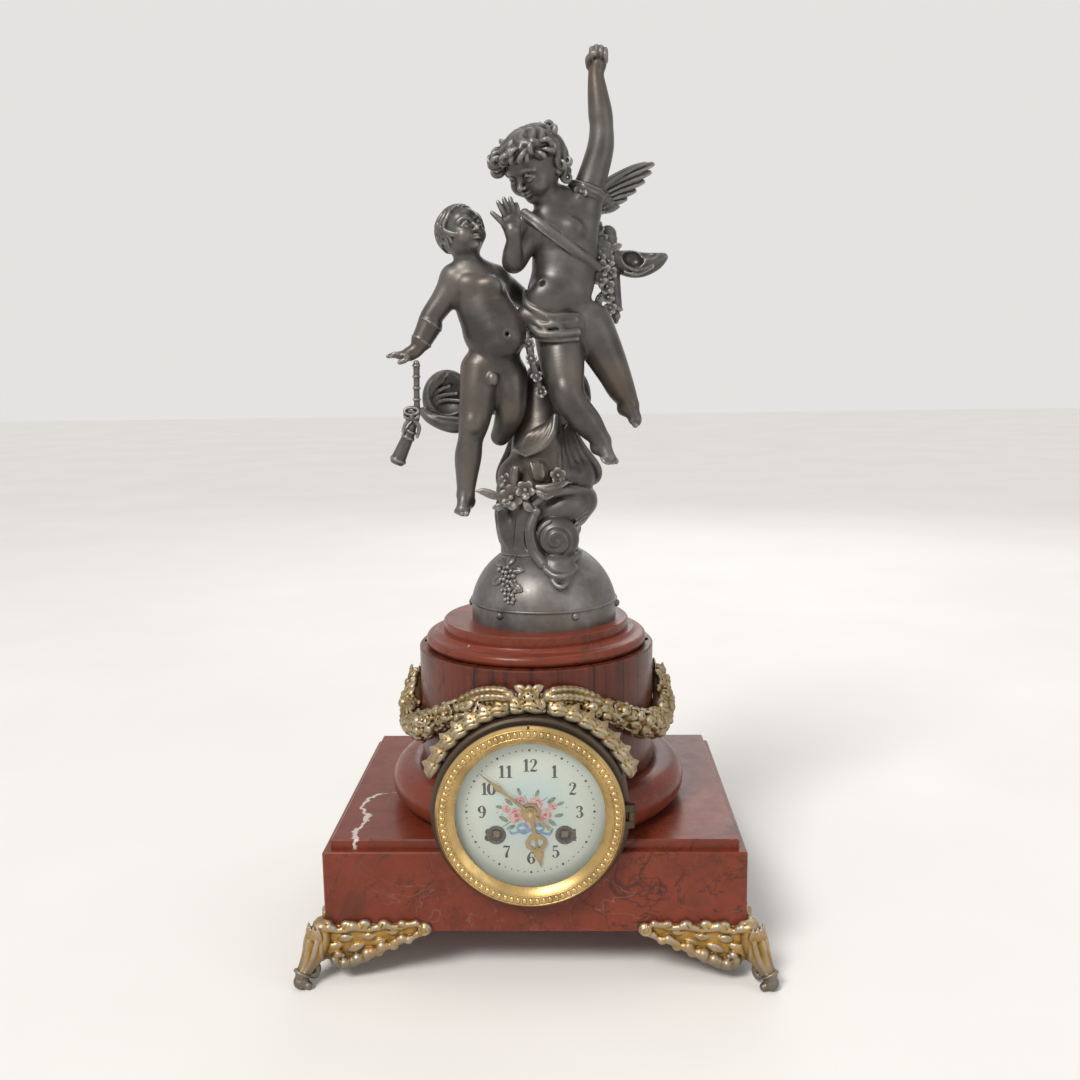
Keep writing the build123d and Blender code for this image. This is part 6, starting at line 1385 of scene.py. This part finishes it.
def foot_clay():
    """One corner foot in its own corner: x and y run inwards along the block's two faces."""
    clay = Clay((-23, -23, -1), (78, 78, 47), 0.5)
    corner, across = unit((-1, -1, 0)), unit((1, -1, 0))

    def shin(out, side, z):
        return out * corner + side * across + np.array((0, 0, z))

    # slim leg with ridges, a collar and a scrolled toe
    clay.limb([(shin(20.4, 0, 4.6), 4.6), (shin(19.2, 0, 9.0), 4.6), (shin(14.6, 0, 14.5), 5.4),
        (shin(9.0, 0, 21), 7.0), (shin(5.2, 0, 29), 8.2), (shin(3.2, 0, 37), 6.4)], 1.5)
    for side in (-1, 0, 1):
        ridge = ((22.8, 1.0, 3.2, 9.5, 1.3), (18.6, 1.0, 4.0, 15.0, 1.6), (15.4, 1.6, 5.2, 22, 1.9),
            (13.6, 2.2, 6.0, 30, 2.0), (10.4, 1.8, 5.6, 37, 1.5))
        clay.limb([(shin(out - less * abs(side), wide * side, z), r) for out, less, wide, z, r in ridge], 1.3)
    above = unit(corner + (0, 0, 0.7))
    clay.limb([(shin(19.6, 0, 10.4) + 5.3 * (math.cos(a) * across + math.sin(a) * above), 1.2)
        for a in np.linspace(0, 2 * math.pi, 25)], 0.5, 0)
    clay.egg(shin(20.8, 0, 4.9), (5.3, 5.3, 4.9), 0.8)
    for side in (-1, 1):
        clay.egg(shin(18.2, 4.6 * side, 3.0), (3.0, 3.0, 2.9), 0.7)
        clay.groove([(shin(24.0, 2.2 * side, 8.5), 0.5), (shin(26.4, 2.4 * side, 4.5), 0.6),
            (shin(25.0, 2.2 * side, 0.5), 0.5)], 0.4)
    clay.limb([(shin(11.5, 0, 15), 2.6), (shin(8.0, 0, 10), 2.8), (shin(9.6, 0, 5.6), 2.6),
        (shin(13.0, 0, 6.4), 2.0)], 0.8)
    foot_face(clay, lambda along, out, z: np.array((along, -out, z)))
    foot_face(clay, lambda along, out, z: np.array((-out, along, z)))
    # shell on the corner
    base = np.array((-3.0, -3.0, 26.0))
    for k in range(-2, 3):
        a = math.radians(45 + 24 * k)
        ray = np.array((-math.cos(a), -math.sin(a), 0.0))
        path = [base + 4.5 * ray, base + 7.6 * ray + (0, 0, 8.5),
            base + 7.8 * ray + (0, 0, 17.0 - 0.6 * abs(k))]
        leaf(clay, path, ray, 3.1, 1.5, 0.4)
    # room for the block and the floor, and holes for the screws
    clay.slab((0.1, 0.1, 34.2), (90, 90, 60), 0.3, True)
    clay.slab((-60, -60, -20), (90, 90, 0.05), 0.3, True)
    for place in ((11.0, 42.0), (42.0, 11.0), (11.0, 11.0)):
        clay.groove([((*place, 10.0), 4.2), ((*place, 29.8), 4.2)], 0.2, 0)
    return clay


def feet():
    """The four corner feet: one casting, mirrored to each corner."""
    points, faces = foot_clay().surface(1)
    corners = (("front_left", -1, -1), ("front_right", 1, -1), ("back_left", -1, 1), ("back_right", 1, 1))
    for name, sx, sy in corners:
        placed = np.stack([sx * (BLOCK_X - points[:, 0]), sy * (BLOCK_Y - points[:, 1]), points[:, 2]], 1)
        turned = faces if sx * sy > 0 else faces[:, ::-1]
        dress(mesh_from("foot_" + name + "_cast", placed, turned, foot_gilt), "case", "gilt", "foot_" + name)


# Bezel and dial
def bezel_beads():
    """A row of long beads on the face of the gold ring, between two thin raised rims."""
    points, faces = [], []
    count, rings, sides = 84, 8, 12
    half_long, half_wide = 2.25, 1.70
    ahead = np.array((0, -1, 0))
    for k in range(count):
        a = 2 * math.pi * k / count
        ray = np.array((math.cos(a), 0.0, math.sin(a)))
        across = np.array((-math.sin(a), 0.0, math.cos(a)))
        middle = np.array((CLOCK_X, BEAD_Y, CLOCK_Z)) + BEAD_R * ray
        first = len(points)
        for i in range(rings + 1):
            b = math.pi * i / rings
            for j in range(sides):
                c = 2 * math.pi * j / sides
                girth = half_wide * math.cos(c) * across + half_wide * math.sin(c) * ahead
                points.append(middle + half_long * math.cos(b) * ray + math.sin(b) * girth)
        for i in range(rings):
            for j in range(sides):
                here, beside = first + i * sides + j, first + i * sides + (j + 1) % sides
                faces.append((here, here + sides, beside + sides, beside))
    steps = 160
    for rim in ((55.2, 56.2), (60.6, 61.7)):
        profile = [(0.5 * (rim[0] + rim[1]) - 0.5 * (rim[1] - rim[0]) * math.cos(t),
            -125.9 - 0.75 * math.sin(t)) for t in np.linspace(0, math.pi, 7)]
        wide, first = len(profile), len(points)
        for k in range(steps):
            points += [ring_point(360.0 * k / steps, r, y) for r, y in profile]
            n, m = first + wide * k, first + wide * ((k + 1) % steps)
            faces += [(n + i, n + i + 1, m + i + 1, m + i) for i in range(wide - 1)]
    dress(mesh_from("bezel_beads", points, faces, bezel_gold), "bezel", "gilt")


def on_dial(u, v, lift=0.0):
    """A point just off the domed dial, right and up from its middle."""
    front = DIAL_Y - DIAL_RISE * (1 - (math.hypot(u, v) / DIAL_R) ** 2) - 0.10
    return CLOCK_X + u, front - lift, CLOCK_Z + v


class Inlay:
    """Flat painted shapes gathered into one piece on the dial."""

    def __init__(self, scale=1.0):
        self.points, self.faces = [], []
        self.scale = scale

    def stroke(self, path, lift=0.0):
        """A brush stroke through (u, v, width) points."""
        rows = flow([(np.array((u, v, 0.0)), w) for u, v, w in path], 6 if len(path) > 2 else 0)
        first = len(self.points)
        for k, (p, w) in enumerate(rows):
            ahead = rows[min(k + 1, len(rows) - 1)][0] - rows[max(k - 1, 0)][0]
            ahead = ahead / (np.linalg.norm(ahead) + 1e-9)
            across = np.array((-ahead[1], ahead[0], 0.0)) * w / 2
            for q in (p + across, p - across):
                self.points.append(on_dial(self.scale * q[0], self.scale * q[1], lift))
            if k:
                n = first + 2 * k
                self.faces.append((n - 2, n - 1, n + 1, n))

    def blob(self, u, v, r, lift=0.0, squash=1.0, turn=0.0, wave=0.0, lobes=5):
        """A filled round, or petalled, shape."""
        first = len(self.points)
        count = 28
        u, v, r = self.scale * u, self.scale * v, self.scale * r
        self.points.append(on_dial(u, v, lift))
        for k in range(count):
            a = 2 * math.pi * k / count
            far = r * (1 + wave * math.cos(lobes * a))
            x, y = far * math.cos(a), far * squash * math.sin(a)
            self.points.append(on_dial(u + x * math.cos(turn) - y * math.sin(turn),
                v + x * math.sin(turn) + y * math.cos(turn), lift))
        for k in range(count):
            n, m = first + 1 + k, first + 1 + (k + 1) % count
            self.faces.append((first, m, n))

    def finish(self, name, material):
        """One piece of all the shapes, turned to the front."""
        mesh = bpy.data.meshes.new(name)
        faces = sorted(self.faces, key=len, reverse=True)
        mesh.from_pydata([tuple(MM * c for c in p) for p in self.points], [], faces)
        for face in mesh.polygons:
            if face.normal.y > 0:
                face.flip()
        mesh.update()
        dress(link(mesh, name, material), "case", "enamel")


def ellipse(cx, cy, rx, ry, thin, thick):
    """A closed digit stroke that is thick at its sides."""
    ring = []
    for k in range(17):
        a = 2 * math.pi * k / 16 + 0.3
        ring.append((cx + rx * math.cos(a), cy + ry * math.sin(a), thin + thick * abs(math.cos(a))))
    return ring


# Strokes of the digits as points (u, v, width) in a unit height; the nine is the six turned over
six = [(.48, .86, .13), (.38, .98, .05), (.22, .90, .09), (.10, .60, .16), (.09, .30, .18),
    (.20, .05, .08), (.34, .02, .06), (.50, .20, .15), (.50, .40, .15), (.36, .57, .05), (.20, .50, .05),
    (.12, .38, .05)]
digits = {
    "0": [ellipse(.30, .50, .24, .47, .05, .15)],
    "1": [[(.32, 0, .17), (.32, 1, .17)], [(.10, .78, .04), (.30, .97, .10)],
        [(.08, .025, .05), (.56, .025, .05)]],
    "2": [[(.10, .74, .16), (.14, .92, .06), (.30, .975, .05), (.46, .90, .12), (.48, .72, .17),
        (.38, .48, .10), (.18, .22, .05), (.07, .07, .05)],
        [(.07, .07, .12), (.30, .08, .15), (.52, .05, .06), (.55, .20, .04)]],
    "3": [[(.10, .80, .14), (.20, .96, .05), (.36, .95, .08), (.47, .78, .16), (.38, .57, .06),
        (.24, .53, .05)],
        [(.24, .53, .05), (.42, .50, .07), (.51, .27, .18), (.38, .04, .06), (.20, .03, .05),
        (.08, .20, .15)]],
    "4": [[(.40, 1, .05), (.22, .62, .05), (.04, .27, .05)], [(.04, .27, .06), (.60, .27, .06)],
        [(.42, 0, .17), (.42, 1, .17)], [(.26, .02, .04), (.58, .02, .04)]],
    "5": [[(.14, .97, .10), (.32, .94, .13), (.52, .99, .05)], [(.14, .97, .05), (.13, .55, .05)],
        [(.13, .55, .05), (.30, .63, .06), (.48, .50, .12), (.51, .28, .18), (.38, .04, .06),
        (.20, .03, .05), (.09, .20, .15)]],
    "6": [six],
    "7": [[(.06, .80, .05), (.10, .97, .09), (.30, .93, .14), (.54, .97, .06)],
        [(.54, .97, .05), (.38, .60, .09), (.28, .30, .16), (.26, 0, .19)]],
    "8": [ellipse(.30, .74, .19, .235, .05, .11), ellipse(.30, .26, .24, .25, .05, .13)],
    "9": [[(.60 - u, 1 - v, w) for u, v, w in six]]}


def dial_print():
    """Upright hour figures and a ring of minute dots."""
    figures = Inlay()
    tall, far, bold, ring = 8.6, 32.8, 1.28, 43.2
    for hour in range(1, 13):
        a = math.radians(90 - 30 * hour)
        text = str(hour)
        wide = 0.60 * tall * (0.95 * len(text))
        u0, v0 = far * math.cos(a) - wide / 2, far * math.sin(a) - tall / 2
        for k, digit in enumerate(text):
            for path in digits[digit]:
                placed = [(u0 + tall * (0.57 * k + u), v0 + tall * v, bold * tall * w) for u, v, w in path]
                figures.stroke(placed)
    for minute in range(60):
        a = math.radians(6 * minute)
        figures.blob(ring * math.cos(a), ring * math.sin(a), 0.5 if minute % 5 else 0.85)
    figures.finish("dial_figures", ink)


def dial_painting():
    """A painted spray of roses tied with a ribbon."""
    dice = random.Random(8)
    leaves, pale, pink, red, ribbon, gold = (Inlay(1.2) for _ in range(6))
    stems = [[(-16, -9, .5), (-7, -3, .7), (2, 3, .6), (10, 9, .4)],
        [(-4, -8, .5), (0, 0, .6), (-3, 10, .4)], [(15, -8, .4), (6, -2, .6), (-4, 5, .5), (-13, 9, .4)]]
    for stem in stems:
        leaves.stroke(stem)
    sprigs = ((-15, -4, 2.6, 3.0), (-11, -9, 3.6, 2.8), (12, -6, 5.6, 3.0), (16, -2, 0.2, 2.6),
        (12, 7, 0.6, 2.8), (-12, 6, 2.4, 2.8), (-17, 3, 3.0, 2.4), (4, 11, 1.2, 2.4), (-6, 12, 1.9, 2.4),
        (17, 5, 0.4, 2.2))
    for u, v, turn, size in sprigs:
        leaves.blob(u, v, size, 0.02, 0.42, turn)
    roses = ((-8, -2, 4.6), (3, 4.6, 4.3), (8.5, -1.5, 4.0), (-5.5, 6.8, 3.2), (12.5, 3.5, 2.6),
        (-13.5, 1.8, 2.6), (0.5, -6.5, 3.0))
    for u, v, size in roses:
        pale.blob(u, v, size, 0.04, 0.92, dice.uniform(0, 3), 0.09, 5)
        for k in range(7):
            a = dice.uniform(0, 2 * math.pi)
            (pink if k % 2 else red).stroke([(u + 0.62 * size * math.cos(a + s),
                v + 0.58 * size * math.sin(a + s), 0.20 * size * (1 - abs(s - 0.5)))
                for s in (0.0, 0.35, 0.7, 1.0)], 0.06 + 0.004 * k)
        red.blob(u, v, 0.26 * size, 0.10, 0.85, dice.uniform(0, 3), 0.15, 3)
    ribbon.stroke([(-12.6, -9.2, 0.8), (-10.6, -12.6, 1.6), (-6, -11.5, 1.4), (0, -10.2, 2.0),
        (6, -12, 1.4), (10.6, -13.0, 1.6), (12.6, -9.6, 0.8)], 0.05)
    for k in (-1, 1):
        ribbon.stroke([(0, -10.4, 1.0), (4.2 * k, -7.2, 2.4), (7.4 * k, -9.4, 1.2), (4.0 * k, -12.2, 2.2),
            (0, -10.6, 1.0)], 0.07)
    for k in range(26):
        a, r = dice.uniform(0, 2 * math.pi), dice.uniform(13, 21)
        gold.blob(r * math.cos(a), 0.62 * r * math.sin(a), dice.uniform(0.25, 0.5), 0.05)
    leaves.finish("dial_leaves", paint("leaf_paint", (0.10, 0.15, 0.10), (0.22, 0.27, 0.17)))
    pale.finish("dial_roses", paint("rose_paint", (0.56, 0.24, 0.25), (0.66, 0.42, 0.38)))
    pink.finish("dial_petals", paint("petal_paint", (0.70, 0.50, 0.46), (0.60, 0.32, 0.31)))
    red.finish("dial_hearts", paint("heart_paint", (0.33, 0.055, 0.065), (0.42, 0.11, 0.10)))
    ribbon.finish("dial_ribbon", paint("ribbon_paint", (0.10, 0.20, 0.36), (0.24, 0.36, 0.48)))
    gold.finish("dial_buds", paint("bud_paint", (0.55, 0.38, 0.14), (0.45, 0.20, 0.12)))


garland(-1)
garland(1)
garland_crest()
feet()
bezel_beads()
dial_print()
dial_painting()
dial_enamel = enamel()
clear_glass = glazing()


# Materials of the CAD nodes that stay in view: one for each slot, then the few that differ
slot_look = {"marble": stone, "spelter": spelter, "gilt": gilt, "bronze": bronze, "glass": clear_glass,
    "enamel": dial_enamel, "brass": brass, "bell_metal": bell_metal, "tin_plate": tin, "steel": steel}
own_look = {"plinth_slabs": slab_stone, "drum": drum_stone, "dome": dome_metal, "bezel_door": bezel_gold,
    "hour_hand": hand_gold, "minute_hand": hand_gold, "going_arbor": arbor_brass,
    "strike_arbor": arbor_brass}
for entry in frame["record"]["subparts"]:
    node = nodes[entry["node"]]
    node.data.materials.clear()
    node.data.materials.append(own_look.get(entry["node"]) or slot_look[entry["material_slot"]])
